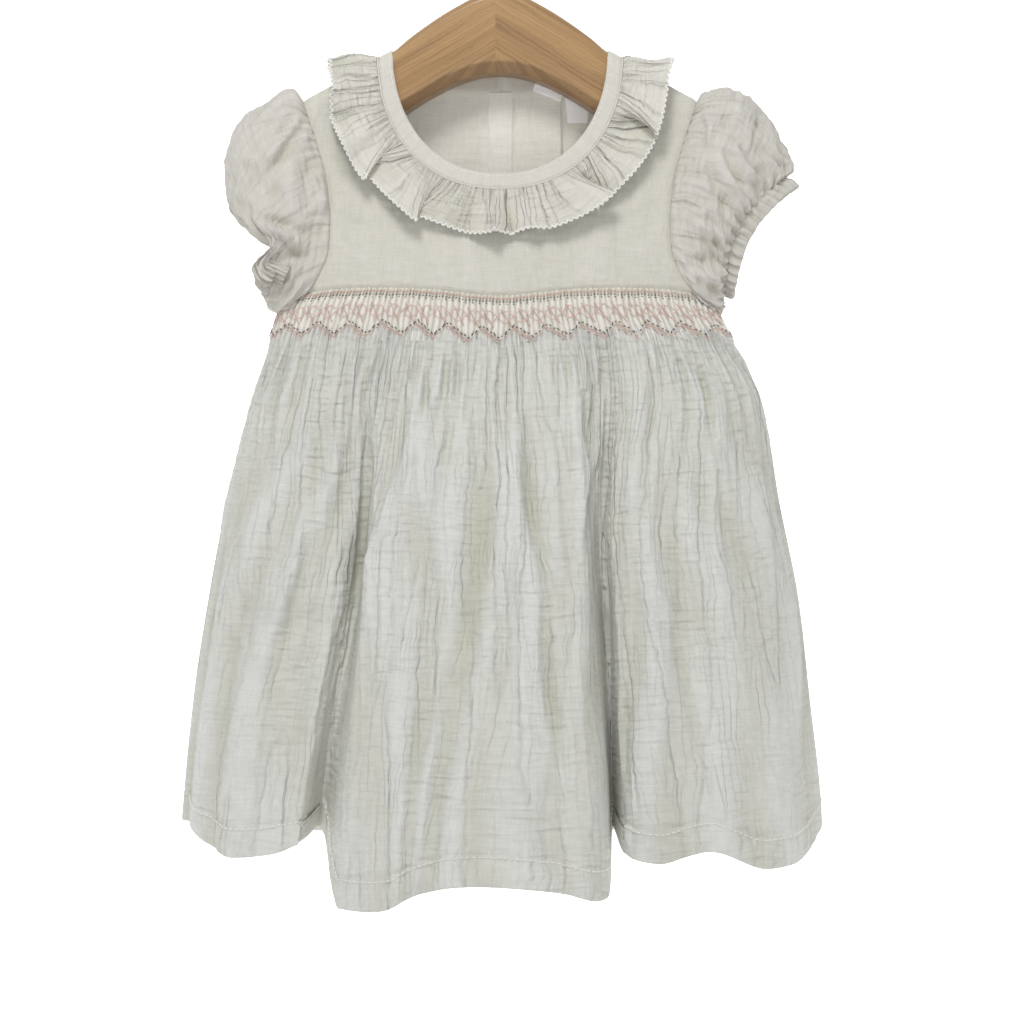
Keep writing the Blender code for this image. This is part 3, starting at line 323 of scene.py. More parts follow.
# Where the front hem's corners are lifted round: place (x, z), how wide and tall, how far
HEM_CORNERS = [(-106.0, -531.0, 9.0, 10.0, 4.5), (-170.0, -523.0, 6.0, 8.0, 2.0)]
BACK_SKIRT_CREASES = [
    ("trough", 5.0, 2.2, [(-50, -250), (-54, -300), (-62, -370), (-68, -450)]),
    ("fold left", 6.0, 2.2, [(-20, -250), (-24, -310), (-30, -390), (-36, -470), (-38, -520)]),
    ("trough", 4.0, 1.7, [(8, -255), (10, -320), (16, -400), (18, -470)]),
    ("fold right", 7.0, 2.3, [(40, -250), (44, -310), (52, -380), (60, -450), (62, -515)]),
    ("trough", 4.5, 2.0, [(52, -255), (58, -320), (66, -390), (72, -450)]),
    ("fold right", 6.0, 1.8, [(88, -260), (98, -330), (106, -400), (112, -480)]),
    ("fold left", 6.0, 1.9, [(-86, -260), (-96, -330), (-108, -410), (-114, -490)]),
    ("ridge", 3.5, 1.4, [(-70, -258), (-78, -310), (-84, -350)]),
    ("trough", 4.0, 1.5, [(-112, -270), (-126, -340), (-136, -420), (-140, -480)]),
    ("trough", 4.0, 1.5, [(116, -265), (128, -340), (138, -410), (142, -470)]),
    ("ridge", 4.0, 1.3, [(-4, -300), (-6, -380), (-8, -460), (-8, -515)]),
    ("ridge", 3.5, 1.3, [(76, -290), (84, -360), (90, -430)]),
]
FRONT_YOKE_CREASES = [
    ("trough", 2.6, 0.9, [(-94, -176), (-82, -184), (-66, -189)]),
    ("ridge", 2.8, 0.8, [(-96, -190), (-84, -201), (-70, -208)]),
    ("trough", 2.2, 0.8, [(92, -168), (80, -178), (66, -184)]),
    ("ridge", 2.6, 0.8, [(93, -184), (82, -196), (70, -205)]),
    ("trough", 3.0, 0.7, [(-40, -182), (-41, -200), (-40, -216)]),
    ("ridge", 2.4, 0.6, [(-16, -188), (-17, -205), (-16, -222)]),
    ("trough", 2.6, 0.7, [(22, -187), (23, -204), (22, -220)]),
    ("ridge", 2.6, 0.6, [(52, -176), (54, -196), (53, -216)]),
    ("fold left", 3.0, 0.8, [(-72, -170), (-76, -190), (-76, -216)]),
    ("trough", 2.4, 0.8, [(100, -132), (88, -150), (82, -168)]),
    ("trough", 2.4, 0.8, [(-101, -134), (-90, -150), (-84, -166)]),
]
BACK_YOKE_CREASES = [
    ("trough", 2.8, 0.9, [(-94, -170), (-78, -182), (-60, -190)]),
    ("trough", 2.8, 0.9, [(94, -172), (80, -182), (62, -188)]),
    ("ridge", 3.0, 0.8, [(-30, -120), (-32, -150), (-31, -190)]),
    ("ridge", 3.0, 0.8, [(34, -124), (35, -160), (33, -200)]),
    ("trough", 3.0, 0.8, [(-52, -130), (-55, -165), (-56, -205)]),
    ("trough", 3.0, 0.8, [(56, -130), (58, -170), (58, -210)]),
]
LEFT_SLEEVE_CREASES = [
    ("fold right", 6.0, 3.4, [(-136, -188), (-124, -191), (-112, -195), (-103, -198)]),
    ("trough", 2.6, 3.0, [(-132, -195), (-121, -198), (-110, -202), (-103, -204)]),
    ("fold right", 5.0, 2.8, [(-107, -125), (-113, -131), (-119, -139), (-125, -149), (-133, -159)]),
    ("trough", 2.4, 1.6, [(-111, -124), (-118, -132), (-124, -141), (-130, -150)]),
    ("ridge", 2.6, 1.4, [(-107, -129), (-109, -146)]),
    ("fold left", 3.4, 1.5, [(-97, -170), (-102, -176), (-105, -181)]),
    ("trough", 3.4, 1.4, [(-146, -152), (-132, -160), (-118, -176)]),
    ("ridge", 3.0, 1.3, [(-148, -166), (-134, -176), (-122, -190)]),
    ("trough", 3.0, 1.2, [(-140, -142), (-130, -150), (-122, -164)]),
    ("ridge", 3.4, 1.2, [(-112, -150), (-116, -166), (-114, -184)]),
    ("trough", 2.6, 1.2, [(-104, -150), (-107, -168), (-106, -186)]),
    ("trough", 2.2, 1.1, [(-136, -206), (-124, -212), (-112, -216)]),
]
RIGHT_SLEEVE_CREASES = [
    ("fold right", 5.0, 2.8, [(120, -142), (122, -152), (126, -162), (132, -171), (140, -178)]),
    ("trough", 3.6, 3.0, [(113, -152), (117, -162), (124, -174), (132, -184)]),
    ("trough", 2.8, 1.8, [(141, -160), (144, -166), (147, -171)]),
    ("trough", 3.0, 1.8, [(140, -128), (145, -130), (150, -129)]),
    ("ridge", 2.6, 1.6, [(109, -146), (112, -160), (116, -176)]),
    ("fold right", 3.0, 1.7, [(128, -140), (134, -152), (142, -160), (150, -164)]),
    ("trough", 2.4, 1.5, [(104, -203), (116, -204), (126, -203)]),
    ("trough", 2.2, 1.4, [(106, -212), (116, -214), (124, -213)]),
    ("ridge", 2.2, 1.3, [(104, -208), (116, -209), (126, -208)]),
    ("trough", 2.4, 1.4, [(106, -194), (118, -196), (130, -198)]),
    ("ridge", 2.6, 1.4, [(105, -186), (116, -190), (128, -194)]),
    ("fold left", 3.0, 1.4, [(112, -124), (115, -134), (114, -146)]),
    ("trough", 2.6, 1.4, [(122, -122), (126, -134), (132, -144)]),
]
# Where the ruffle doubles over: place on the neck seam (x, z, side of the dress), size, and which layer
# lies on top (plus the one nearer the left end of the seam, minus the one nearer the right end)
RUFFLE_FLIPS = [
    (-57.0, -143.0, FRONT, 1.0, 1),
    (-36.0, -165.0, FRONT, 0.7, 1),
    (44.0, -156.0, FRONT, 0.95, 1),
    (63.0, -124.0, FRONT, 0.85, -1),
    (52.0, -105.0, BACK, 0.8, -1),
    (-46.0, -106.0, BACK, 0.9, 1),
]
FLIP_WIDTH = 11.0
FLIP_REACH = 36.0
FLIP_STACK = 9.0

# Shares down the smocked band of its stitched rows
CABLE_SHARE = 0.05
DARK_CABLE_SHARE = 0.135
TRELLIS_MIDDLE = 0.45
TRELLIS_REACH = 0.13
CHEVRON_PEAK = 0.67
CHEVRON_VALLEY = 0.94
CHEVRON_FALL = 0.58
SMOCK_PLEATS = 84
CHEVRONS = 15


# ------------------------------------------------------------------ sizes and colours a user would change


def length_property(name, description, default):
    return FloatProperty(name=name, description=description, default=default, unit="LENGTH")


def colour_property(name, description, default):
    return FloatVectorProperty(
        name=name, description=description, default=default, subtype="COLOR", size=3, min=0.0, max=1.0
    )


class DressSizes(bpy.types.PropertyGroup):
    """How strongly the cloth is pleated, gathered and crinkled."""

    ripple: length_property("Ripple", "Height of the gauze's short cross ripples", 0.00044)
    crease: length_property("Crease", "Height of the gauze's long thin creases", 0.0009)
    gather: length_property("Gather", "Depth of the gathers under the band", 0.0019)
    drape: length_property("Drape", "Depth of the skirt's soft folds lower down", 0.0034)
    pleat: length_property("Pleat", "Height of the smocked pleats", 0.0018)
    hem: length_property("Hem", "Width of the turned-up hem", 0.015)
    ruffle_wave: length_property("Ruffle wave", "Height of the collar ruffle's waves", 0.0056)
    ruffle_waves: IntProperty(
        name="Ruffle waves", description="Waves round the collar ruffle", default=17, min=8, max=60
    )
    cuff_rib: length_property("Cuff rib", "Depth of the ribs in the elastic cuffs", 0.0015)


class ThreadSizes(bpy.types.PropertyGroup):
    """Thickness and spacing of the stitching."""

    smocking: length_property("Smocking thread", "Thickness of the smocking thread", 0.00056)
    sewing: length_property("Sewing thread", "Thickness of the seams' thread", 0.00036)
    stitch: length_property("Stitch", "Length of one topstitch", 0.0024)
    gap: length_property("Gap", "Gap between two topstitches", 0.0009)
    picot: length_property("Picot pitch", "Spacing of the ruffle's edge loops", 0.0031)


class DressColours(bpy.types.PropertyGroup):
    """Colours of the cloth, threads and hanger."""

    gauze: colour_property("Gauze", "Ivory of the front yoke and the neckband", (0.715, 0.695, 0.625))
    # painted shade: a darker, greyer copy of the yoke's ivory, for the sleeves and cuffs
    sleeve: colour_property("Sleeve gauze", "Ivory of the sleeves, a little greyer", (0.69, 0.66, 0.615))
    skirt: colour_property("Skirt gauze", "Ivory of the skirt, a little cooler", (0.74, 0.738, 0.70))
    # painted shade: the greener ivory that the gauze is mixed towards deep in its folds, standing in for
    # shade there
    hollow: colour_property("Gauze hollow", "Tint of the gauze deep in its folds", (0.54, 0.535, 0.42))
    pleated: colour_property("Pleated gauze", "Ivory of the smocked band", (0.88, 0.84, 0.775))
    # painted light: lighter than the yoke's front ivory, standing in for light shining through the thin back
    # cloth
    lining: colour_property(
        "Lining", "Ivory of the back yoke, which the light shines through", (0.81, 0.785, 0.72)
    )
    trim: colour_property("Trim", "Ivory of the ruffle", (0.735, 0.71, 0.64))
    pink: colour_property("Pink thread", "Salmon smocking thread", (0.70, 0.47, 0.41))
    pale: colour_property("Pale pink thread", "Paler strand of the smocking thread", (0.80, 0.60, 0.53))
    dark: colour_property("Dark thread", "Grey smocking thread", (0.06, 0.045, 0.045))
    cream: colour_property("Cream thread", "Thread of the seams", (0.95, 0.93, 0.88))
    wood: colour_property("Wood", "Pale wood of the hanger", (0.47, 0.285, 0.122))
    grain: colour_property("Grain", "Darker grain of the hanger", (0.25, 0.14, 0.06))
    steel: colour_property("Steel", "Plated wire of the hook", (0.62, 0.62, 0.62))
    button: colour_property("Button", "Pearly ivory of the buttons", (0.80, 0.77, 0.69))
    label: colour_property("Label", "Woven satin of the labels", (0.93, 0.93, 0.92))


class StageSettings(bpy.types.PropertyGroup):
    """Strength of the lights and colour of the paper behind the dress."""

    key: FloatProperty(name="Key light", description="Power of the large soft light", default=9.0)
    fill: FloatProperty(name="Fill light", description="Power of the light beside the camera", default=2.1)
    sky: FloatProperty(name="Sky", description="Strength of the pale surroundings", default=0.46)
    backdrop: colour_property("Backdrop", "Colour of the paper under and behind the dress", (0.9, 0.9, 0.9))


# ------------------------------------------------------------------ curves and surfaces


def smooth_step(share):
    share = np.clip(share, 0.0, 1.0)
    return share * share * (3.0 - 2.0 * share)


def bump_at(distance, width):
    """One at no distance, falling off softly over the width."""
    return np.exp(-((distance / width) ** 2))


def unit(vectors):
    vectors = np.asarray(vectors, dtype=float)
    return vectors / np.maximum(np.linalg.norm(vectors, axis=-1, keepdims=True), 1e-9)


def smooth_table(at, places, values):
    """A monotone cubic through the table's values: it never overshoots a row."""
    places = np.asarray(places, dtype=float)
    values = np.asarray(values, dtype=float)
    at = np.clip(np.asarray(at, dtype=float), places[0], places[-1])
    step = np.diff(places)
    slope = np.diff(values, axis=0) / (step if values.ndim == 1 else step[:, None])
    before, after = slope[:-1], slope[1:]
    same_way = before * after > 0
    safe = np.where(same_way, before + after, 1.0)
    inner = np.where(same_way, 2.0 * before * after / safe, 0.0)
    tangent = np.concatenate([slope[:1], inner, slope[-1:]])
    row = np.clip(np.searchsorted(places, at, side="right") - 1, 0, len(step) - 1)
    share = (at - places[row]) / step[row]
    width = step[row]
    if values.ndim > 1:
        share, width = share[..., None], width[..., None]
    cube = share**3
    square = share**2
    return (
        (2 * cube - 3 * square + 1) * values[row]
        + (cube - 2 * square + share) * width * tangent[row]
        + (3 * square - 2 * cube) * values[row + 1]
        + (cube - square) * width * tangent[row + 1]
    )


def running_length(points):
    steps = np.linalg.norm(np.diff(points, axis=0), axis=1)
    return np.concatenate([[0.0], np.cumsum(steps)])


def read_at(wanted, along, points):
    """Points of a polyline at the wanted distances, where along gives its own points' distances."""
    return np.stack([np.interp(wanted, along, column) for column in np.asarray(points).T], axis=1)


def points_at(points, shares):
    """Points of a polyline at the given shares of its length."""
    points = np.asarray(points, dtype=float)
    along = running_length(points)
    return read_at(np.asarray(shares) * along[-1], along, points)


def even_out(ways, times):
    """Blend each way with its neighbours, a few times over; the first and the last stay as they are."""
    for _ in range(times):
        ways[1:-1] = unit(ways[:-2] + 2 * ways[1:-1] + ways[2:])


def lengths_down(grid):
    """How far down the cloth each point of a grid lies, along its own column."""
    steps = np.linalg.norm(np.diff(grid, axis=0), axis=2)
    return np.concatenate([np.zeros((1, grid.shape[1])), np.cumsum(steps, axis=0)])


def spot(points, x, z, wide, tall):
    """One at a place of the front view, falling off softly over its width and height."""
    return bump_at(np.hypot((points[..., 0] - x) / wide, (points[..., 2] - z) / tall), 1.0)


def bent_curve(points, count=CURVE_POINTS):
    """A smooth curve through the points, in short steps."""
    points = np.asarray(points, dtype=float)
    along = running_length(points)
    return smooth_table(np.linspace(0, along[-1], count), along, points)


def ridge_height(x):
    """Height of the shoulder seam, falling away from the neck."""
    return NECK_TOP - SHOULDER_SLOPE * (np.abs(x) - NECK_HALF_WIDTH)


def half_width(z, x):
    """Half width of the dress at a height, on the side of the middle that x lies on."""
    heights, lefts, rights = np.array(SIDE_LINE).T
    left, right = (smooth_table(-np.asarray(z), -heights, widths) for widths in (lefts, rights))
    return np.where(np.asarray(x) < 0, left, right)


def body_depth(x, z, side):
    """Distance of the front or back from the middle plane, at a place of the front view."""
    waist = FRONT_WAIST_DEPTH if side == FRONT else BACK_WAIST_DEPTH
    down = smooth_step((DEPTH_STARTS - z) / (DEPTH_STARTS - WAIST))
    depth = SHOULDER_DEPTH + (waist - SHOULDER_DEPTH) * down
    across = np.clip(np.abs(x) / half_width(z, x), 0.0, 1.0)
    around = (1.0 - across**BODY_POWER) ** (1.0 / BODY_POWER)
    below = np.clip((ridge_height(x) - z) / RIDGE_RADIUS, 0.0, 1.0)
    return depth * around * np.sqrt(1.0 - (1.0 - below) ** 2)


def body_point(x, z, side):
    """The place on the body's front or back at a place of the front view."""
    x, z = np.broadcast_arrays(np.asarray(x, dtype=float), np.asarray(z, dtype=float))
    return np.stack([x, side * np.maximum(body_depth(x, z, side), SEAM_GAP / 2), z], axis=-1)


def body_normals(points, side):
    """Outward unit normals of the body's surface, level on a side or shoulder seam."""
    x, y, z = points[..., 0], points[..., 1], points[..., 2] - 2.0 * NORMAL_STEP
    step = NORMAL_STEP
    wide = (body_depth(x + step, z, side) - body_depth(x - step, z, side)) / (2 * step)
    tall = (body_depth(x, z + step, side) - body_depth(x, z - step, side)) / (2 * step)
    ahead = np.where(np.abs(y) <= SEAM_GAP / 2 + 0.01, 0.0, side * np.ones_like(x))
    return unit(np.stack([-wide, ahead, -tall], axis=-1))


def waist_seam(x):
    """Height of the seam between bodice and skirt."""
    x = np.asarray(x, dtype=float)
    dip = WAIST_DIP * bump_at(x, WAIST_DIP_WIDTH)
    height = WAIST_SEAM - dip - WAIST_SIDE_DROP * np.abs(x / WAIST_SIDE_WIDTH) ** WAIST_SIDE_POWER
    return np.maximum(height, WAIST_CORNER)


def band_bottom(x):
    """Height of the smocked band's lower edge."""
    return BAND_BOTTOM - BAND_BOTTOM_DIP * bump_at(np.asarray(x, dtype=float), WAIST_DIP_WIDTH)


def grid_normals(grid, closed=False):
    """Unit normals of a grid of points, from its neighbours along both ways."""
    if closed:
        across = np.roll(grid, -1, axis=1) - np.roll(grid, 1, axis=1)
    else:
        across = np.gradient(grid, axis=1)
    return unit(np.cross(np.gradient(grid, axis=0), across))


def facing(normals, towards):
    """The normals turned to the side that the given directions point to."""
    sign = np.sign(np.sum(normals * towards, axis=-1, keepdims=True))
    return normals * np.where(sign == 0, 1.0, sign)


def soft_noise(u, v, seed):
    """Smooth noise from about minus one to one, on a lattice of unit steps."""
    u, v = np.broadcast_arrays(u, v)
    column, row = np.floor(u).astype(np.int64), np.floor(v).astype(np.int64)
    across, down = u - column, v - row
    ease_u = across**3 * (across * (across * 6 - 15) + 10)
    ease_v = down**3 * (down * (down * 6 - 15) + 10)

    def pull(step_u, step_v):
        mixed = ((column + step_u) * 374761393 + (row + step_v) * 668265263 + seed * 974634777) & 0x7FFFFFFF
        mixed = ((mixed ^ (mixed >> 13)) * 1274126177) & 0x7FFFFFFF
        turn = ((mixed ^ (mixed >> 16)) & 0xFFFF) * (2 * math.pi / 65536)
        return np.cos(turn) * (across - step_u) + np.sin(turn) * (down - step_v)

    top = pull(0, 0) * (1 - ease_u) + pull(1, 0) * ease_u
    low = pull(0, 1) * (1 - ease_u) + pull(1, 1) * ease_u
    return 1.5 * (top * (1 - ease_v) + low * ease_v)


def gauze_relief(u, v, sizes, seed, strength=1.0):
    """Crinkles of double gauze: short cross ripples between long thin creases, patchy as it dries."""
    wander = 3.0 * soft_noise(u / 30, v / 45, seed + 1)
    patch = smooth_step(0.55 + 0.6 * soft_noise(u / 33, v / 38, seed + 2))
    ripple = soft_noise(u / 10 + 7, (v + wander) / 2.9, seed + 3)
    ripple = ripple + 0.6 * soft_noise(u / 17 + 3, (v - wander) / 4.8, seed + 4)
    ridge = np.clip(1.0 - np.abs(soft_noise((u + wander) / 9.5, v / 70, seed + 5)), 0, 1) ** 3.5
    fine = np.clip(1.0 - np.abs(soft_noise((u - wander) / 5.5, v / 34, seed + 6)), 0, 1) ** 4
    soft = soft_noise(u / 15, v / 60, seed + 7)
    relief = sizes.ripple / MM * ripple * (0.35 + 0.9 * patch)
    relief = relief + sizes.crease / MM * (0.75 * ridge + 0.4 * fine * patch + 0.8 * soft - 0.4)
    return strength * relief


def line_distance(x, z, line):
    """Distance of places from a line, signed plus on its right as it runs down, and the share along it."""
    best = np.full(x.shape, 1e9)
    signed = np.zeros(x.shape)
    share = np.zeros(x.shape)
    along = running_length(line)
    for start, end, before in zip(line[:-1], line[1:], along[:-1]):
        way = end - start
        length = np.linalg.norm(way)
        rel_x, rel_z = x - start[0], z - start[1]
        t = np.clip((rel_x * way[0] + rel_z * way[1]) / length**2, 0, 1)
        off_x, off_z = rel_x - t * way[0], rel_z - t * way[1]
        distance = np.hypot(off_x, off_z)
        nearer = distance < best
        side = np.where(way[0] * rel_z - way[1] * rel_x >= 0, 1.0, -1.0)
        best = np.where(nearer, distance, best)
        signed = np.where(nearer, side * distance, signed)
        share = np.where(nearer, (before + t * length) / along[-1], share)
    return signed, share


# A crease's line is bent through so many points, looked for within so many half widths, fades in and out
# over these shares of its length, and sinks so deep beside a fold's sharp side
CREASE_POINTS = 14
CREASE_REACH = 3.2
CREASE_FADES_IN = 0.22
CREASE_FADES_OUT = 0.3
FOLD_HOLLOW = 0.55


def pressed_creases(x, z, creases):
    """How far out the listed creases push the cloth."""
    relief = np.zeros(x.shape)
    for kind, width, depth, line in creases:
        line = bent_curve(line, CREASE_POINTS)
        reach = CREASE_REACH * width
        near = (x > line[:, 0].min() - reach) & (x < line[:, 0].max() + reach)
        near &= (z > line[:, 1].min() - reach) & (z < line[:, 1].max() + reach)
        if not near.any():
            continue
        signed, share = line_distance(x[near], z[near], line)
        ends = smooth_step(share / CREASE_FADES_IN) * smooth_step((1.0 - share) / CREASE_FADES_OUT)
        uneven = 0.8 + 0.2 * np.sin(9.0 * share + 0.37 * len(relief) + line[0, 0])
        if kind == "trough":
            shape = -bump_at(signed, width)
        elif kind == "ridge":
            shape = bump_at(signed, width)
        else:
            sharp = signed if kind == "fold right" else -signed
            gentle = bump_at(sharp, 1.5 * width)
            drop = bump_at(sharp, 0.4 * width)
            hollow = FOLD_HOLLOW * bump_at(sharp - 0.8 * width, 0.5 * width)
            level = FOLD_HOLLOW * bump_at(0.8 * width, 0.5 * width) * drop
            shape = np.where(sharp < 0, gentle, drop - hollow + level)
        relief[near] += depth * ends * uneven * shape
    return relief


# ------------------------------------------------------------------ meshes


def add_mesh(name, vertices, quads, material, uv, attributes=None):
    """A smooth piece from points in millimetres and faces of four corners, or of three where two agree."""
    vertices = np.asarray(vertices, dtype=float).reshape(-1, 3)
    quads = np.asarray(quads, dtype=np.int64)
    mesh = bpy.data.meshes.new(name)
    mesh.vertices.add(len(vertices))
    mesh.vertices.foreach_set("co", (vertices * MM).astype(np.float32).ravel())
    mesh.loops.add(quads.size)
    mesh.loops.foreach_set("vertex_index", quads.ravel().astype(np.int32))
    mesh.polygons.add(len(quads))
    corners = quads.shape[1]
    mesh.polygons.foreach_set("loop_start", np.arange(0, quads.size, corners, dtype=np.int32))
    mesh.update(calc_edges=True)
    layer = mesh.uv_layers.new(name="cloth")
    layer.data.foreach_set("uv", (np.asarray(uv) * MM).astype(np.float32).ravel())
    for key, values in (attributes or {}).items():
        attribute = mesh.attributes.new(key, "FLOAT", "POINT")
        attribute.data.foreach_set("value", np.asarray(values, dtype=np.float32).ravel())
    mesh.validate()
    mesh.shade_smooth()
    mesh.materials.append(material)
    piece = bpy.data.objects.new(name, mesh)
    bpy.context.scene.collection.objects.link(piece)
    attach(piece, "root")
    return piece


def grid_quads(rows, columns, closed=False):
    """Corner numbers of a grid's faces; a closed grid's last column joins its first."""
    spans = columns if closed else columns - 1
    row, column = np.meshgrid(np.arange(rows - 1), np.arange(spans), indexing="ij")
    after = (column + 1) % columns
    here, below = row * columns, (row + 1) * columns
    return np.stack([here + column, here + after, below + after, below + column], axis=-1).reshape(-1, 4)


def grid_uv(u, v):
    """The cloth's own coordinates at each face corner."""
    uv = np.stack(np.broadcast_arrays(u, v), axis=-1)
    corners = [uv[:-1, :-1], uv[:-1, 1:], uv[1:, 1:], uv[1:, :-1]]
    return np.stack(corners, axis=2).reshape(-1, 2)


def add_sheet(name, grid, u, v, material, hollow=None, closed=False, flip=False):
    """One layer of cloth over a grid of points. A closed grid has one more column of u and v than of points,
    and flip turns the faces so that they look outwards."""
    rows, columns = grid.shape[:2]
    quads = grid_quads(rows, columns, closed)
    uv = grid_uv(u, v)
    if flip:
        quads = quads[:, ::-1]
        uv = uv.reshape(-1, 4, 2)[:, ::-1].reshape(-1, 2)
    # the hollow attribute carries the painted shade of the folds
    return add_mesh(name, grid, quads, material, uv, {} if hollow is None else {"hollow": hollow})


def painted_fold_shade(relief, scale=1.6):
    """How much painted shade each point gets: how deep in a fold it lies, from nought on a crest to one in a
    deep crease.
    """
    return np.clip(0.25 - relief / scale * 0.35, 0.0, 1.0)


# A stitch's bead: its sides, the places along it as shares of its length, and how thick it is there
STITCH_SIDES = 6
STITCH_STATIONS = (-0.5, -0.42, -0.2, 0.2, 0.42, 0.5)
STITCH_SIZES = (0.25, 0.8, 1.0, 1.0, 0.8, 0.25)
# Round a tube's end: how far past the path, and how thick, as shares of its radius
TUBE_END_REACH = (1.0, 0.85, 0.5)
TUBE_END_SIZES = (0.05, 0.55, 0.87)


def add_stitches(name, places, ways, normals, length, thickness, material, bow=0.25):
    """Small raised stitches, each a short bead of thread that dips into the cloth at both ends."""
    sides = STITCH_SIDES
    stations = np.array(STITCH_STATIONS)
    sizes = np.array(STITCH_SIZES)
    rise = bow * thickness * (1.0 - (stations / 0.5) ** 2) - 0.35 * thickness * (np.abs(stations) > 0.45)
    turn = np.linspace(0, 2 * math.pi, sides, endpoint=False)
    places, ways, normals = np.atleast_2d(places), unit(np.atleast_2d(ways)), np.atleast_2d(normals)
    across = unit(np.cross(ways, normals))
    normals = np.cross(across, ways)
    length = np.broadcast_to(length, len(places))
    centre = places[:, None] + ways[:, None] * (stations[None] * length[:, None])[..., None]
    centre = centre + normals[:, None] * rise[None, :, None]
    cosine, sine = np.cos(turn)[None, :, None], np.sin(turn)[None, :, None]
    round_way = cosine * across[:, None] + sine * normals[:, None]
    radius = thickness / 2 * sizes
    points = centre[:, :, None] + round_way[:, None] * radius[None, :, None, None]
    count = len(stations) * sides
    one = grid_quads(len(stations), sides, closed=True)[:, ::-1]
    caps = np.array([[0, 1, 2, 3], [0, 3, 4, 5]])
    one = np.concatenate([one, caps, (caps + count - sides)[:, ::-1]])
    quads = (one[None] + (np.arange(len(places)) * count)[:, None, None]).reshape(-1, 4)
    u = np.broadcast_to((stations[None, :, None] * length[:, None, None]), points.shape[:3]).reshape(-1)
    w = np.broadcast_to(turn[None, None] / (2 * math.pi) * thickness * 3, points.shape[:3]).reshape(-1)
    uv = np.stack([u, w], axis=-1)[quads.ravel()]
    return add_mesh(name, points, quads, material, uv)


def add_tube(name, path, normals, radius, sides, material):
    """A round thread, cord or wire along a path, with rounded ends."""
    path = np.asarray(path, dtype=float)
    normals = np.broadcast_to(normals, path.shape)
    ways = unit(np.gradient(path, axis=0))
    reach = np.array(TUBE_END_REACH)[:, None]
    first, last = path[:1] - ways[:1] * radius * reach, path[-1:] + ways[-1:] * radius * reach[::-1]
    path = np.concatenate([first, path, last])
    ways, normals = (np.pad(each, ((3, 3), (0, 0)), mode="edge") for each in (ways, normals))
    end = radius * np.array(TUBE_END_SIZES)
    thick = np.concatenate([end, np.full(len(path) - 6, radius), end[::-1]])
    across = unit(np.cross(ways, normals))
    out = np.cross(across, ways)
    turn = np.linspace(0, 2 * math.pi, sides, endpoint=False)
    ring = np.cos(turn)[None, :, None] * across[:, None] + np.sin(turn)[None, :, None] * out[:, None]
    points = path[:, None] + ring * thick[:, None, None]
    quads = grid_quads(len(path), sides, closed=True)[:, ::-1]
    along = np.repeat(running_length(path), sides)
    round_way = np.tile(turn / (2 * math.pi) * 6 * radius, len(path))
    uv = np.stack([along, round_way], axis=-1)[quads.ravel()]
    return add_mesh(name, points, quads, material, uv)


def topstitch(name, line, along, normals, margin, lift, thickness, threads, finishes):
    """A row of stitches down a line, from the margin after its start to the margin before its end."""
    wanted = np.arange(margin, along[-1] - margin, (threads.stitch + threads.gap) / MM)
    ways = read_at(wanted, along, unit(np.gradient(line, axis=0)))
    outs = read_at(wanted, along, normals)
    places = read_at(wanted, along, line) + unit(outs) * lift
    return add_stitches(name, places, ways, outs, threads.stitch / MM, thickness, finishes["cream"])


def stitch_upright(name, x_places, top, bottom, facing_out, lift, threads, finishes):
    """Upright rows of stitches down the back: outside it, or inside where facing_out is minus one."""
    heights = np.arange(top, bottom, -(threads.stitch + threads.gap) / MM)
    places = np.concatenate([body_point(np.full(len(heights), x), heights, BACK) for x in x_places])
    normals = facing_out * body_normals(places, BACK)
    ways = np.tile([0, 0, 1.0], (len(places), 1))
    length, thickness = threads.stitch / MM, threads.sewing / MM
    add_stitches(name, places + normals * lift, ways, normals, length, thickness, finishes["cream"])


# ------------------------------------------------------------------ finishes


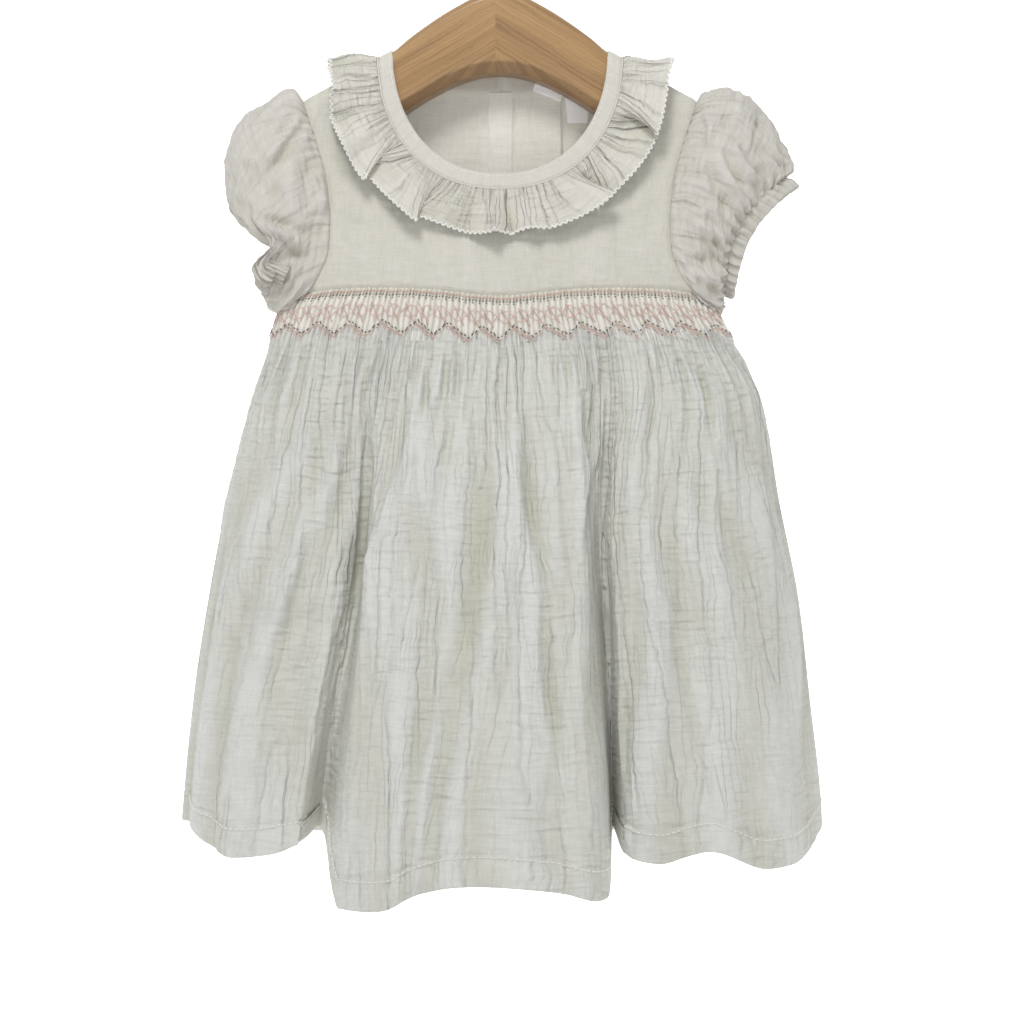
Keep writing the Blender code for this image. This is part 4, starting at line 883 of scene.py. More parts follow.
class Finish:
    """A material's nodes, added and linked in short calls, on one principled shader."""

    def __init__(self, name, roughness, **constants):
        self.material = bpy.data.materials.new(name)
        self.material.use_nodes = True
        self.tree = self.material.node_tree
        self.shader = self.tree.nodes["Principled BSDF"]
        self.shader.inputs["Roughness"].default_value = roughness
        for socket, value in constants.items():
            self.shader.inputs[socket.replace("_", " ")].default_value = value

    def put(self, socket, value):
        if isinstance(value, bpy.types.NodeSocket):
            self.tree.links.new(value, socket)
        else:
            socket.default_value = value

    def node(self, kind, output=0, settings=None, **inputs):
        node = self.tree.nodes.new(kind)
        for key, value in (settings or {}).items():
            setattr(node, key, value)
        for key, value in inputs.items():
            self.put(node.inputs[key.replace("_", " ").title()], value)
        return node.outputs[output]

    def math(self, operation, first, second=0.0):
        node = self.tree.nodes.new("ShaderNodeMath")
        node.operation = operation
        for socket, value in zip(node.inputs, (first, second)):
            self.put(socket, value)
        return node.outputs[0]

    def times(self, first, second):
        return self.math("MULTIPLY", first, second)

    def plus(self, first, second):
        return self.math("ADD", first, second)

    def attribute(self, name):
        node = self.tree.nodes.new("ShaderNodeAttribute")
        node.attribute_name = name
        return node.outputs["Fac"]

    def cloth_place(self):
        """Across and along the cloth, in metres."""
        uv = self.node("ShaderNodeUVMap", settings={"uv_map": "cloth"})
        parts = self.tree.nodes.new("ShaderNodeSeparateXYZ")
        self.tree.links.new(uv, parts.inputs[0])
        return parts.outputs[0], parts.outputs[1]

    def joined(self, x, y, z=0.0):
        node = self.tree.nodes.new("ShaderNodeCombineXYZ")
        for socket, value in zip(node.inputs, (x, y, z)):
            self.put(socket, value)
        return node.outputs[0]

    def stretched_noise(self, u, v, pitch_u, pitch_v, detail=2.0, rough=0.5, seed=0.0):
        """Noise whose grains are pitch_u wide and pitch_v long, in metres of cloth."""
        place = self.joined(self.math("DIVIDE", u, pitch_u), self.math("DIVIDE", v, pitch_v), seed)
        return self.node("ShaderNodeTexNoise", Vector=place, Scale=1.0, Detail=detail, Roughness=rough)

    def ridged(self, noise, sharpness):
        """Thin lines where the noise passes its middle: one on the line, nought away from it."""
        away = self.times(self.math("ABSOLUTE", self.math("SUBTRACT", noise, 0.5)), sharpness)
        return self.math("MAXIMUM", self.math("SUBTRACT", 1.0, away), 0.0)

    def mixed(self, share, first, second, blend="MIX"):
        node = self.tree.nodes.new("ShaderNodeMix")
        node.data_type = "RGBA"
        node.blend_type = blend
        self.put(node.inputs["Factor"], share)
        for socket, value in ((node.inputs[6], first), (node.inputs[7], second)):
            self.put(socket, (*value, 1.0) if isinstance(value, tuple) else value)
        return node.outputs[2]

    def shaded(self, colour, light):
        """The colour made lighter or darker by a grey value."""
        return self.mixed(1.0, colour, self.joined(light, light, light), "MULTIPLY")

    def ranged(self, value, low, high, to_low, to_high):
        node = self.tree.nodes.new("ShaderNodeMapRange")
        for socket, given in zip(node.inputs, (value, low, high, to_low, to_high)):
            self.put(socket, given)
        return node.outputs[0]

    def bumped(self, height, strength, distance, normal=None):
        node = self.tree.nodes.new("ShaderNodeBump")
        self.put(node.inputs["Strength"], strength)
        self.put(node.inputs["Distance"], distance)
        self.put(node.inputs["Height"], height)
        if normal is not None:
            self.put(node.inputs["Normal"], normal)
        return node.outputs[0]

    def done(self, colour, normal=None, roughness=None):
        for socket, value in (("Base Color", colour), ("Normal", normal), ("Roughness", roughness)):
            if value is not None:
                self.put(self.shader.inputs[socket], value)
        return self.material


def ready(name, make):
    """The material of that name, made the first time that a piece asks for it."""
    return bpy.data.materials.get(name) or make(name)


def woven(finish, u, v, pitch):
    """Height of a plain weave: threads both ways, each over and under the next."""
    warp = finish.math("SINE", finish.times(u, 2 * math.pi / pitch))
    weft = finish.math("SINE", finish.times(v, 2 * math.pi / pitch))
    over = finish.times(warp, weft)
    open_gap = finish.plus(finish.math("ABSOLUTE", warp), finish.math("ABSOLUTE", weft))
    return finish.plus(finish.times(over, 0.5), finish.times(open_gap, 0.5))


# The gauze's noises: width and length of a grain in metres of cloth, detail, and seed
GAUZE_GRAINS = {
    "slub_across": (0.0008, 0.009, 2.0, 1.0),
    "slub_along": (0.009, 0.0008, 2.0, 2.0),
    "drift": (0.03, 0.05, 2.0, 3.0),
    "shake": (0.02, 0.007, 1.0, 4.0),
    "sag": (0.03, 0.03, 2.0, 5.0),
    "crease": (0.017, 0.15, 0.0, 6.0),
    "fine_crease": (0.0052, 0.06, 0.0, 7.0),
    "patch": (0.035, 0.045, 2.0, 8.0),
    "row": (0.021, 0.0034, 0.6, 9.0),
    "fine_row": (0.008, 0.0024, 0.6, 10.0),
}
# How far the crinkles stand up and the threads do, in metres
RIPPLE_BUMP = 0.0012
CREASE_BUMP = -0.0007
SLUB_BUMP = 0.0003
WEAVE_BUMP = 0.00016
# How much painted shade darkens a crease and a pinch
CREASE_SHADE = 0.09
PINCH_SHADE = 0.05


def gauze_finish(name, colour, hollow, weave=0.0008, crinkle=1.0, glow=0.0):
    """Matt double gauze: open weave, slubs, puckers between fine creases, painted shade deep in folds and
    creases.
    """
    # painted light: a glow above nought makes the gauze shine by itself in its own colour
    finish = Finish(
        name, 0.92, Sheen_Weight=0.1, Sheen_Roughness=0.55, Specular_IOR_Level=0.2,
        Emission_Color=(*colour, 1.0), Emission_Strength=glow,
    )
    u, v = finish.cloth_place()

    def grain(kind, across=u, along=v):
        wide, tall, detail, seed = GAUZE_GRAINS[kind]
        return finish.stretched_noise(across, along, wide, tall, detail=detail, seed=seed)

    weave_height = woven(finish, u, v, weave)
    slubs = finish.plus(grain("slub_across"), grain("slub_along"))
    wavy_u = finish.plus(u, finish.times(grain("drift"), 0.012))
    wavy_u = finish.plus(wavy_u, finish.times(grain("shake"), 0.003))
    low_v = finish.plus(v, finish.times(grain("sag"), 0.004))
    patches = grain("patch")
    patchy = finish.ranged(patches, 0.36, 0.62, 0.4, 1.0)
    rows = grain("row", along=low_v)
    ripples = finish.plus(rows, finish.times(grain("fine_row", along=low_v), 0.4))
    ripples = finish.times(finish.ranged(ripples, 0.35, 1.0, 0.0, 1.0), patchy)
    pinches = finish.times(finish.ridged(rows, 8.0), patchy)
    creases = finish.ridged(grain("crease", across=wavy_u), 28.0)
    fine_creases = finish.ridged(grain("fine_crease", across=wavy_u), 14.0)
    lines = finish.plus(creases, finish.times(fine_creases, 0.5))
    lines = finish.times(lines, finish.ranged(patches, 0.35, 0.65, 1.0, 0.55))
    # painted shade: the colour is mixed towards the greener shade colour where the hollow attribute puts a
    # point deep in a fold, more in some patches
    deep = finish.times(finish.attribute("hollow"), finish.ranged(patches, 0.3, 0.7, 0.75, 1.0))
    light = finish.ranged(slubs, 0.75, 1.25, 0.94, 1.03)
    light = finish.times(light, finish.ranged(weave_height, 0.2, 1.2, 0.96, 1.02))
    # painted shade: darker along the thin creases and the pinched ripples
    light = finish.times(light, finish.ranged(lines, 0.0, 1.2, 1.0, 1.0 - CREASE_SHADE * crinkle))
    light = finish.times(light, finish.ranged(pinches, 0.0, 1.0, 1.0, 1.0 - PINCH_SHADE * crinkle))
    normal = finish.bumped(weave_height, 0.35, WEAVE_BUMP)
    normal = finish.bumped(slubs, 0.3, SLUB_BUMP, normal)
    normal = finish.bumped(ripples, crinkle, RIPPLE_BUMP, normal)
    normal = finish.bumped(lines, crinkle, CREASE_BUMP, normal)
    return finish.done(finish.shaded(finish.mixed(deep, colour, hollow), light), normal)


def thread_finish(name, colour, sheen=0.2):
    """Plied cotton thread: a slanting twist, with painted highlight on the plies' crests and painted shade
    between them.
    """
    finish = Finish(name, 0.75, Sheen_Weight=sheen, Specular_IOR_Level=0.3)
    u, v = finish.cloth_place()
    ply = finish.math("SINE", finish.plus(finish.times(u, 2 * math.pi / 0.0009), finish.times(v, 9000.0)))
    fuzz = finish.stretched_noise(u, v, 0.0006, 0.0004, detail=3.0)
    # painted highlight and shade: lighter on the plies' crests and darker between them
    light = finish.plus(
        finish.ranged(ply, -1.0, 1.0, 0.86, 1.06), finish.ranged(fuzz, 0.3, 0.7, -0.05, 0.05)
    )
    return finish.done(finish.shaded(colour, light), finish.bumped(ply, 0.5, 0.00012))


def satin_finish(name, colour):
    """Woven satin tape: close floats along the tape, a soft shine and a faint painted glow."""
    # painted light: the satin glows faintly in its own colour, so the labels show bright in the shaded back
    # neck
    finish = Finish(
        name, 0.42, Sheen_Weight=0.3, Anisotropic=0.5, Specular_IOR_Level=0.45,
        Emission_Color=(*colour, 1.0), Emission_Strength=0.12,
    )
    u, v = finish.cloth_place()
    floats = finish.math("SINE", finish.times(v, 2 * math.pi / 0.00042))
    uneven = finish.ranged(finish.stretched_noise(u, v, 0.004, 0.0006), 0.3, 0.7, -0.03, 0.03)
    light = finish.plus(finish.ranged(floats, -1.0, 1.0, 0.95, 1.02), uneven)
    return finish.done(finish.shaded(colour, light), finish.bumped(floats, 0.3, 0.00008))


def shell_finish(name, colour):
    """Pearly button: drifting pale bands under a clear coat."""
    finish = Finish(name, 0.3, Coat_Weight=0.5, Coat_Roughness=0.12, Specular_IOR_Level=0.5)
    bands = finish.stretched_noise(*finish.cloth_place(), 0.0011, 0.004, detail=4.0)
    warm = tuple(c * t for c, t in zip(colour, (1.03, 0.95, 0.86)))
    base = finish.mixed(finish.ranged(bands, 0.35, 0.65, 0.0, 1.0), colour, warm)
    return finish.done(base, finish.bumped(bands, 0.15, 0.0002))


def wood_finish(name, colour, grain):
    """Varnished beech: long grain down each arm, short dark flecks, a fine mitre line, and painted shade
    under the chamfer.
    """
    finish = Finish(name, 0.42, Coat_Weight=0.25, Coat_Roughness=0.25, Specular_IOR_Level=0.4)
    u, v = finish.cloth_place()
    wander = finish.stretched_noise(u, v, 0.035, 0.01, seed=1.0)
    bent = finish.plus(v, finish.times(wander, 0.004))
    lines = finish.stretched_noise(u, bent, 0.09, 0.0013, detail=4.0, rough=0.62, seed=2.0)
    growth = finish.stretched_noise(u, bent, 0.14, 0.0075, seed=3.0)
    place = finish.joined(finish.math("DIVIDE", u, 0.0034), finish.math("DIVIDE", bent, 0.00075))
    cells = finish.node("ShaderNodeTexVoronoi", output="Distance", Vector=place, Scale=1.0)
    flecks = finish.ranged(cells, 0.16, 0.3, 0.55, 0.0)
    dark = finish.plus(
        finish.ranged(lines, 0.42, 0.66, 0.0, 0.55), finish.ranged(growth, 0.42, 0.66, 0.0, 0.45)
    )
    # the hollow attribute adds the dark mitre line, the darker end grain, and painted shade on the underside
    # chamfer
    dark = finish.plus(dark, finish.attribute("hollow"))
    dark = finish.math("MINIMUM", finish.plus(dark, finish.times(flecks, 0.5)), 1.0)
    roughness = finish.ranged(lines, 0.3, 0.7, 0.36, 0.5)
    return finish.done(finish.mixed(dark, colour, grain), finish.bumped(lines, 0.18, 0.0003), roughness)


def steel_finish(name, colour):
    """Bright plated wire with faint drawing marks."""
    finish = Finish(name, 0.18, Metallic=1.0)
    marks = finish.stretched_noise(*finish.cloth_place(), 0.012, 0.0003, detail=3.0)
    base = finish.shaded(colour, finish.ranged(marks, 0.3, 0.7, 0.92, 1.05))
    return finish.done(base, finish.bumped(marks, 0.08, 0.0001), finish.ranged(marks, 0.3, 0.7, 0.14, 0.24))


def dress_finishes(context):
    """Every material of the dress, by its use."""
    colours = context.scene.dress_colours
    c = {key: tuple(getattr(colours, key)) for key in DressColours.__annotations__}
    # painted shade: each gauze is mixed towards the hollow colour deep in its folds, the ruffle and neckband
    # towards a paler mix of it with the ruffle's ivory
    hollow = c["hollow"]
    trim_painted_shade = tuple(0.5 * (a + b) for a, b in zip(hollow, c["trim"]))
    makers = {
        "bodice": ("bodice_gauze", lambda name: gauze_finish(name, c["gauze"], hollow, crinkle=0.3)),
        # painted shade: the sleeves and cuffs take the darker, greyer copy of the ivory
        "gauze": ("ivory_gauze", lambda name: gauze_finish(name, c["sleeve"], hollow, crinkle=0.7)),
        "skirt": ("skirt_gauze", lambda name: gauze_finish(name, c["skirt"], hollow)),
        "trim": ("ruffle_gauze", lambda name: gauze_finish(name, c["trim"], trim_painted_shade, crinkle=1.4)),
        "binding": ("neck_cotton", lambda name: gauze_finish(name, c["gauze"], trim_painted_shade, 0.0005, 0.25)),
        # painted light: the back yoke, placket and facing are lighter and glow faintly, standing in for
        # light shining through the thin cloth
        "lining": (
            "yoke_lining", lambda name: gauze_finish(name, c["lining"], hollow, crinkle=0.3, glow=0.09)
        ),
        "smocked": ("pleated_gauze", lambda name: gauze_finish(name, c["pleated"], hollow, crinkle=0.3)),
        "pale": ("pale_pink_thread", lambda name: thread_finish(name, c["pale"])),
        "pink": ("salmon_thread", lambda name: thread_finish(name, c["pink"])),
        "dark": ("grey_thread", lambda name: thread_finish(name, c["dark"], 0.1)),
        "cream": ("cream_thread", lambda name: thread_finish(name, c["cream"])),
        "satin": ("blank_satin", lambda name: satin_finish(name, c["label"])),
        "shell": ("pearly_shell", lambda name: shell_finish(name, c["button"])),
        "wood": ("varnished_beech", lambda name: wood_finish(name, c["wood"], c["grain"])),
        "steel": ("plated_wire", lambda name: steel_finish(name, c["steel"])),
    }
    return {use: ready(name, make) for use, (name, make) in makers.items()}


# ------------------------------------------------------------------ yokes, placket and neck


def neck_curve(half, top, drop, turn):
    """Half width and height of a neck line: angle nought at the middle, a quarter turn at the shoulder."""
    power = 2.0 / NECK_POWER
    x = half * np.sign(np.sin(turn)) * np.abs(np.sin(turn)) ** power
    return x, top - drop * np.abs(np.cos(turn)) ** power


def neck_turns(side, steps):
    """Angles round a quarter of the neck seam at even distances, from the shoulder to the middle."""
    drop = FRONT_NECK_DROP if side == FRONT else BACK_NECK_DROP
    turn = np.linspace(math.pi / 2, 0.0, CURVE_POINTS)
    x, z = neck_curve(NECK_HALF_WIDTH, NECK_TOP, drop, turn)
    along = running_length(body_point(x, z, side))
    ridge_steps = max(4, int(steps * RIDGE_ARC / along[-1]))
    wanted = np.concatenate(
        [
            np.linspace(0, RIDGE_ARC, ridge_steps + 1),
            np.linspace(RIDGE_ARC, along[-1], steps - ridge_steps + 1)[1:]
        ]
    )
    return np.interp(wanted, along, turn)


def neck_quarter(half, drop, side, steps):
    x, z = neck_curve(half, float(ridge_height(half)), drop, neck_turns(side, steps))
    points = body_point(x, z, side)
    points[0, 1] = 0.0
    return points


def neck_loop(half, front_drop, back_drop, steps):
    """Points once round the neck, from the centre back round to it again."""
    back = neck_quarter(half, back_drop, BACK, steps)[::-1]
    right = np.concatenate([back, neck_quarter(half, front_drop, FRONT, steps)[1:]])
    return np.concatenate([right, right[::-1][1:] * (-1, 1, 1)])


def armhole_curve(shares):
    return points_at(bent_curve(ARMHOLE), shares)


def patch(top, bottom, first_side, last_side, rows, shoulder):
    """A grid of front-view places filled in between four edges, with no column swung over the neck."""
    along = running_length(top)
    across = along / along[-1]
    down = np.asarray(rows)[:, None]
    from_first = np.clip(1 - along / shoulder, 0, 1) * (1 - down) + (1 - across) * down
    from_last = np.clip(1 - (along[-1] - along) / shoulder, 0, 1) * (1 - down) + across * down
    first_curve = first_side - ((1 - down) * first_side[0] + down * first_side[-1])
    last_curve = last_side - ((1 - down) * last_side[0] + down * last_side[-1])
    places = (1 - down[..., None]) * top + down[..., None] * bottom
    places += from_first[..., None] * first_curve[:, None]
    return places + from_last[..., None] * last_curve[:, None]


ARM_ROWS = 84
CORNER_ROWS = 8
YOKE_TUCK = 1.2


def arm_side(sign):
    """Front-view places down a yoke's outer edge: the armhole, then the short side seam."""
    edge = armhole_curve(np.linspace(0, 1, ARM_ROWS)) * (sign, 1)
    corner = np.array([sign * float(half_width(WAIST_CORNER, sign)), WAIST_CORNER])
    return np.concatenate(
        [edge, edge[-1] + (corner - edge[-1]) * np.linspace(0, 1, CORNER_ROWS + 1)[1:, None]]
    )


def yoke_rows():
    return np.concatenate(
        [UNDERARM_SHARE * np.linspace(0, 1, ARM_ROWS), np.linspace(UNDERARM_SHARE, 1, CORNER_ROWS + 1)[1:]]
    )


def seam_places(left, right, top):
    along = running_length(top) / running_length(top)[-1]
    x = left + (right - left) * along
    return np.stack([x, waist_seam(x) - YOKE_TUCK], axis=1)


def sew_yoke(name, places, side, creases, seed, sizes, finishes, seams):
    """A yoke's cloth on the body, creased, and sunk along the seams: distances of every point from them."""
    middle = body_point(places[..., 0], places[..., 1], side)
    normals = body_normals(middle, side)
    u, v = places[..., 0] + 200, -places[..., 1]
    relief = gauze_relief(u, v, sizes, seed, 0.55) + pressed_creases(places[..., 0], places[..., 1], creases)
    near = np.minimum.reduce(seams)
    relief = relief * smooth_step(near / 5.0) - 1.1 * bump_at(near, 1.5)
    gather = np.sin(2 * math.pi * u / 6.2 + 2.0 * soft_noise(u / 12, v / 9, seed + 20))
    relief = relief + 0.22 * gather * bump_at(places[..., 1] - waist_seam(places[..., 0]), 9.0)
    grid = middle + normals * (relief + 0.5)[..., None]
    # painted light: the back yoke takes the lighter, faintly glowing lining finish
    finish = finishes["bodice" if side == FRONT else "lining"]
    return add_sheet(name, grid, u, v, finish, painted_fold_shade(relief), flip=side == BACK)


def distance_to(places, line):
    """Distance of every front-view place from a seam's line."""
    signed, _ = line_distance(places[..., 0], places[..., 1], np.asarray(line))
    return np.abs(signed)


def yoke_seams(places, drop):
    turn = np.linspace(0, math.pi / 2, 24)
    x, z = neck_curve(NECK_HALF_WIDTH, NECK_TOP, drop, turn)
    neck = np.stack([x, z], axis=1)
    arm = armhole_curve(np.linspace(0, 1, 24))
    shoulder = np.array([[NECK_HALF_WIDTH, NECK_TOP], [SHOULDER_TIP, float(ridge_height(SHOULDER_TIP))]])
    waist_x = np.linspace(-120, 120, 40)
    waist = np.stack([waist_x, waist_seam(waist_x)], axis=1)
    mirrored = np.abs(places) * (1, -1)
    near = [distance_to(mirrored, line) for line in (neck, arm, shoulder)]
    return near + [distance_to(places, waist)]


def sew_front_yoke(sizes, finishes):
    half = NECK_HALF_WIDTH - YOKE_TUCK
    quarter = neck_quarter(half, FRONT_NECK_DROP - YOKE_TUCK, FRONT, 62)[:, (0, 2)]
    neck = np.concatenate([quarter * (-1, 1), quarter[::-1][1:]])
    x = np.linspace(SHOULDER_TIP, half, 21)
    shoulder = np.stack([x, ridge_height(x)], axis=1)[:-1]
    top = np.concatenate([shoulder * (-1, 1), neck, shoulder[::-1]])
    first, last = arm_side(-1), arm_side(1)
    bottom = seam_places(first[-1, 0], last[-1, 0], top)
    places = patch(top, bottom, first, last, yoke_rows(), running_length(top)[20])
    seams = yoke_seams(places, FRONT_NECK_DROP)
    piece = sew_yoke("front_yoke", places, FRONT, FRONT_YOKE_CREASES, 11, sizes, finishes, seams)
    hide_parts("yoke_front")


def sew_back_yokes(sizes, finishes):
    for name, node, sign in (
        ("back_yoke_left", "yoke_back_left", -1), ("back_yoke_right", "yoke_back_right", 1)
    ):
        edge = PLACKET_HALF_WIDTH - YOKE_TUCK
        half = NECK_HALF_WIDTH - YOKE_TUCK
        neck = neck_quarter(half, BACK_NECK_DROP - YOKE_TUCK, BACK, 46)[:, (0, 2)]
        neck = neck[neck[:, 0] > edge + 0.5]
        neck = np.concatenate([neck, [(edge, NECK_TOP - BACK_NECK_DROP + YOKE_TUCK)]])
        x = np.linspace(SHOULDER_TIP, half, 21)
        shoulder = np.stack([x, ridge_height(x)], axis=1)[:-1]
        top = np.concatenate([shoulder, neck]) * (sign, 1)
        first = arm_side(sign)
        rows = yoke_rows()
        bottom = seam_places(first[-1, 0], top[-1, 0], top)
        last = np.stack(
            [np.full(len(rows), top[-1, 0]), top[-1, 1] + (bottom[-1, 1] - top[-1, 1]) * rows], axis=1
        )
        places = patch(top, bottom, first, last, rows, running_length(top)[20])
        seams = yoke_seams(places, BACK_NECK_DROP)
        piece = sew_yoke(name, places, BACK, BACK_YOKE_CREASES, 31 + sign, sizes, finishes, seams)
        if sign > 0:
            piece.data.flip_normals()
        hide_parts(node)


def padded_strip(name, middle, normals, half_thickness, u, v, material):
    """A flat closed strip: the outer face, the rounded edges and the inner face as one ring of cloth."""
    outer = middle + normals * half_thickness[..., None]
    inner = middle - normals * half_thickness[..., None]
    ring = np.concatenate([outer, inner[::-1]])
    u = np.concatenate([u, u[::-1]])
    v = np.concatenate([v, 2 * v[-1:] - v[::-1]])
    ring = np.concatenate([ring, ring[:1]])
    u = np.concatenate([u, u[:1]])
    v = np.concatenate([v, 2 * v[-1:] + v[:1]])
    return add_sheet(name, ring, u, v, material)


def sew_placket(sizes, threads, finishes):
    top = NECK_TOP - BACK_NECK_DROP - 0.2
    bottom = float(waist_seam(0.0)) - 0.5
    across = np.linspace(-1, 1, 31)
    x = PLACKET_HALF_WIDTH * np.sign(across) * np.abs(across) ** 0.85
    z = np.linspace(top, bottom, 150)
    x_grid, z_grid = np.meshgrid(x, z, indexing="ij")
    middle = body_point(x_grid, z_grid, BACK)
    normals = body_normals(middle, BACK)
    u, v = x_grid + 60, -z_grid
    share = np.abs(x_grid) / PLACKET_HALF_WIDTH
    thick = 1.05 * np.maximum(1.0 - share**8, 0.0) ** 0.5
    thick = thick + 0.3 * gauze_relief(u, v, sizes, 51, 0.5) * (1.0 - share**6)
    stitch_line = PLACKET_HALF_WIDTH - 1.6
    thick = thick - 0.22 * bump_at(np.abs(x_grid) - stitch_line, 0.5)
    for height in BUTTON_HEIGHTS:
        thick = thick - 0.3 * bump_at(np.hypot(x_grid, z_grid - height), 6.0)
    piece = padded_strip("placket", middle, normals, thick, u, v, finishes["lining"])
    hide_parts("back_placket")
    lines = (-stitch_line, stitch_line)
    stitch_upright("placket_stitches", lines, top - 1.5, bottom + 1.0, 1, 0.95, threads, finishes)
    sew_buttonholes(threads, finishes)


def sew_buttonholes(threads, finishes):
    """Close bar stitches round each upright buttonhole, longer than the button is wide."""
    places, ways, normals = [], [], []
    reach = BUTTON_RADIUS + 1.6
    for height in BUTTON_HEIGHTS:
        for side in (-1, 1):
            for z in np.arange(height - reach, height + reach, 0.55):
                places.append(body_point(0.75 * side, z, BACK))
                ways.append((1.0, 0.0, 0.0))
        for z in (height - reach, height + reach):
            for x in np.arange(-1.2, 1.3, 0.4):
                places.append(body_point(x, z, BACK))
                ways.append((0.0, 0.0, 1.0))
    places = np.array(places)
    normals = body_normals(places, BACK)
    add_stitches(
        "buttonholes", places + normals * 1.05, np.array(ways), normals, 1.3, threads.sewing / MM,
        finishes["cream"],
    )


def neck_frames(steps):
    """Points round the neck's outer seam and band edge."""
    low = neck_loop(NECK_HALF_WIDTH, FRONT_NECK_DROP, BACK_NECK_DROP, steps)
    high = neck_loop(BAND_HALF_WIDTH, FRONT_BAND_DROP, BACK_BAND_DROP, steps)
    return low, high


def either_normals(points):
    behind = (points[..., 1] > 0)[..., None]
    return np.where(behind, body_normals(points, BACK), body_normals(points, FRONT))


TAB_FROM = -2.5
TAB_TO = 8.5
TAB_RISE = 7.0


def sew_neckband(sizes, threads, finishes):
    low, high = neck_frames(150)
    shares = np.linspace(0, 1, 17)
    middle = high[None] + (low - high)[None] * shares[:, None, None]
    normals = unit(either_normals(middle))
    even_out(normals.swapaxes(0, 1), 3)
    along = running_length(low)
    u = np.broadcast_to(along, middle.shape[:2])
    v = np.broadcast_to(shares[:, None] * 8.0, middle.shape[:2])
    edge = np.abs(2 * shares - 1)[:, None]
    thick = 0.95 * np.sqrt(np.maximum(1.0 - edge**6, 0.0))
    thick = thick + 0.1 * gauze_relief(u / 2, v, sizes, 61, 0.5) * (1 - edge**4)
    thick = thick + 0.1 * np.sin(2 * math.pi * u / 7.0 + 3 * soft_noise(u / 20, v / 9, 63)) * (1 - edge**2)
    back = middle[..., 1] > 0
    window = smooth_step(
        (middle[..., 0] - TAB_FROM) / 1.2
    ) * smooth_step((TAB_TO - middle[..., 0]) / 5.0) * back
    middle[..., 2] += TAB_RISE * window * (1 - shares[:, None])
    middle[..., 1] -= 3.4 * window * (1 - shares[:, None])
    ends = smooth_step(np.minimum(along, along[-1] - along) / 0.8)
    thick = np.maximum(thick * (0.25 + 0.75 * ends), 0.0)
    piece = padded_strip("neck_binding", middle, normals, thick, u, v, finishes["binding"])
    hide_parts("neckband")
    cord_normals = unit(either_normals(low))
    path = low + cord_normals * 1.0
    add_tube("neck_cord", path[2:-2], cord_normals[2:-2], 0.62, 8, finishes["binding"])
    inner = middle[3] + normals[3] * 0.93
    thickness = 0.8 * threads.sewing / MM
    topstitch("neck_stitches", inner, along, normals[3], 6.0, 0.0, thickness, threads, finishes)


# ------------------------------------------------------------------ ruffle


def ruffle_frames(columns):
    """Points along the ruffle's seam, its outward and upward ways, and the running length."""
    loop = bent_curve(neck_loop(NECK_HALF_WIDTH, FRONT_NECK_DROP, BACK_NECK_DROP, 60), 2400)
    further = RUFFLE_DIRECTION_STEP * (1.0 - SHOULDER_SLOPE)
    beyond = neck_loop(
        NECK_HALF_WIDTH + RUFFLE_DIRECTION_STEP, FRONT_NECK_DROP + further, BACK_NECK_DROP + further, 60
    )
    beyond = bent_curve(beyond, 2400)
    along_seam = running_length(loop)
    ends = RUFFLE_START / along_seam[-1]
    wanted = np.linspace(ends, 1.0 - ends, columns) * along_seam[-1]
    seam = read_at(wanted, along_seam, loop)
    outside = read_at(wanted, along_seam, beyond)
    way = unit(np.gradient(seam, axis=0))
    outward = outside - seam
    outward = unit(outward - way * np.sum(outward * way, axis=1, keepdims=True))
    even_out(outward, 12)
    up = facing(unit(np.cross(outward, way)), seam * (0, 1, 0) + np.array([0, 0, RUFFLE_UPWARD]))
    return seam, way, outward, up, wanted


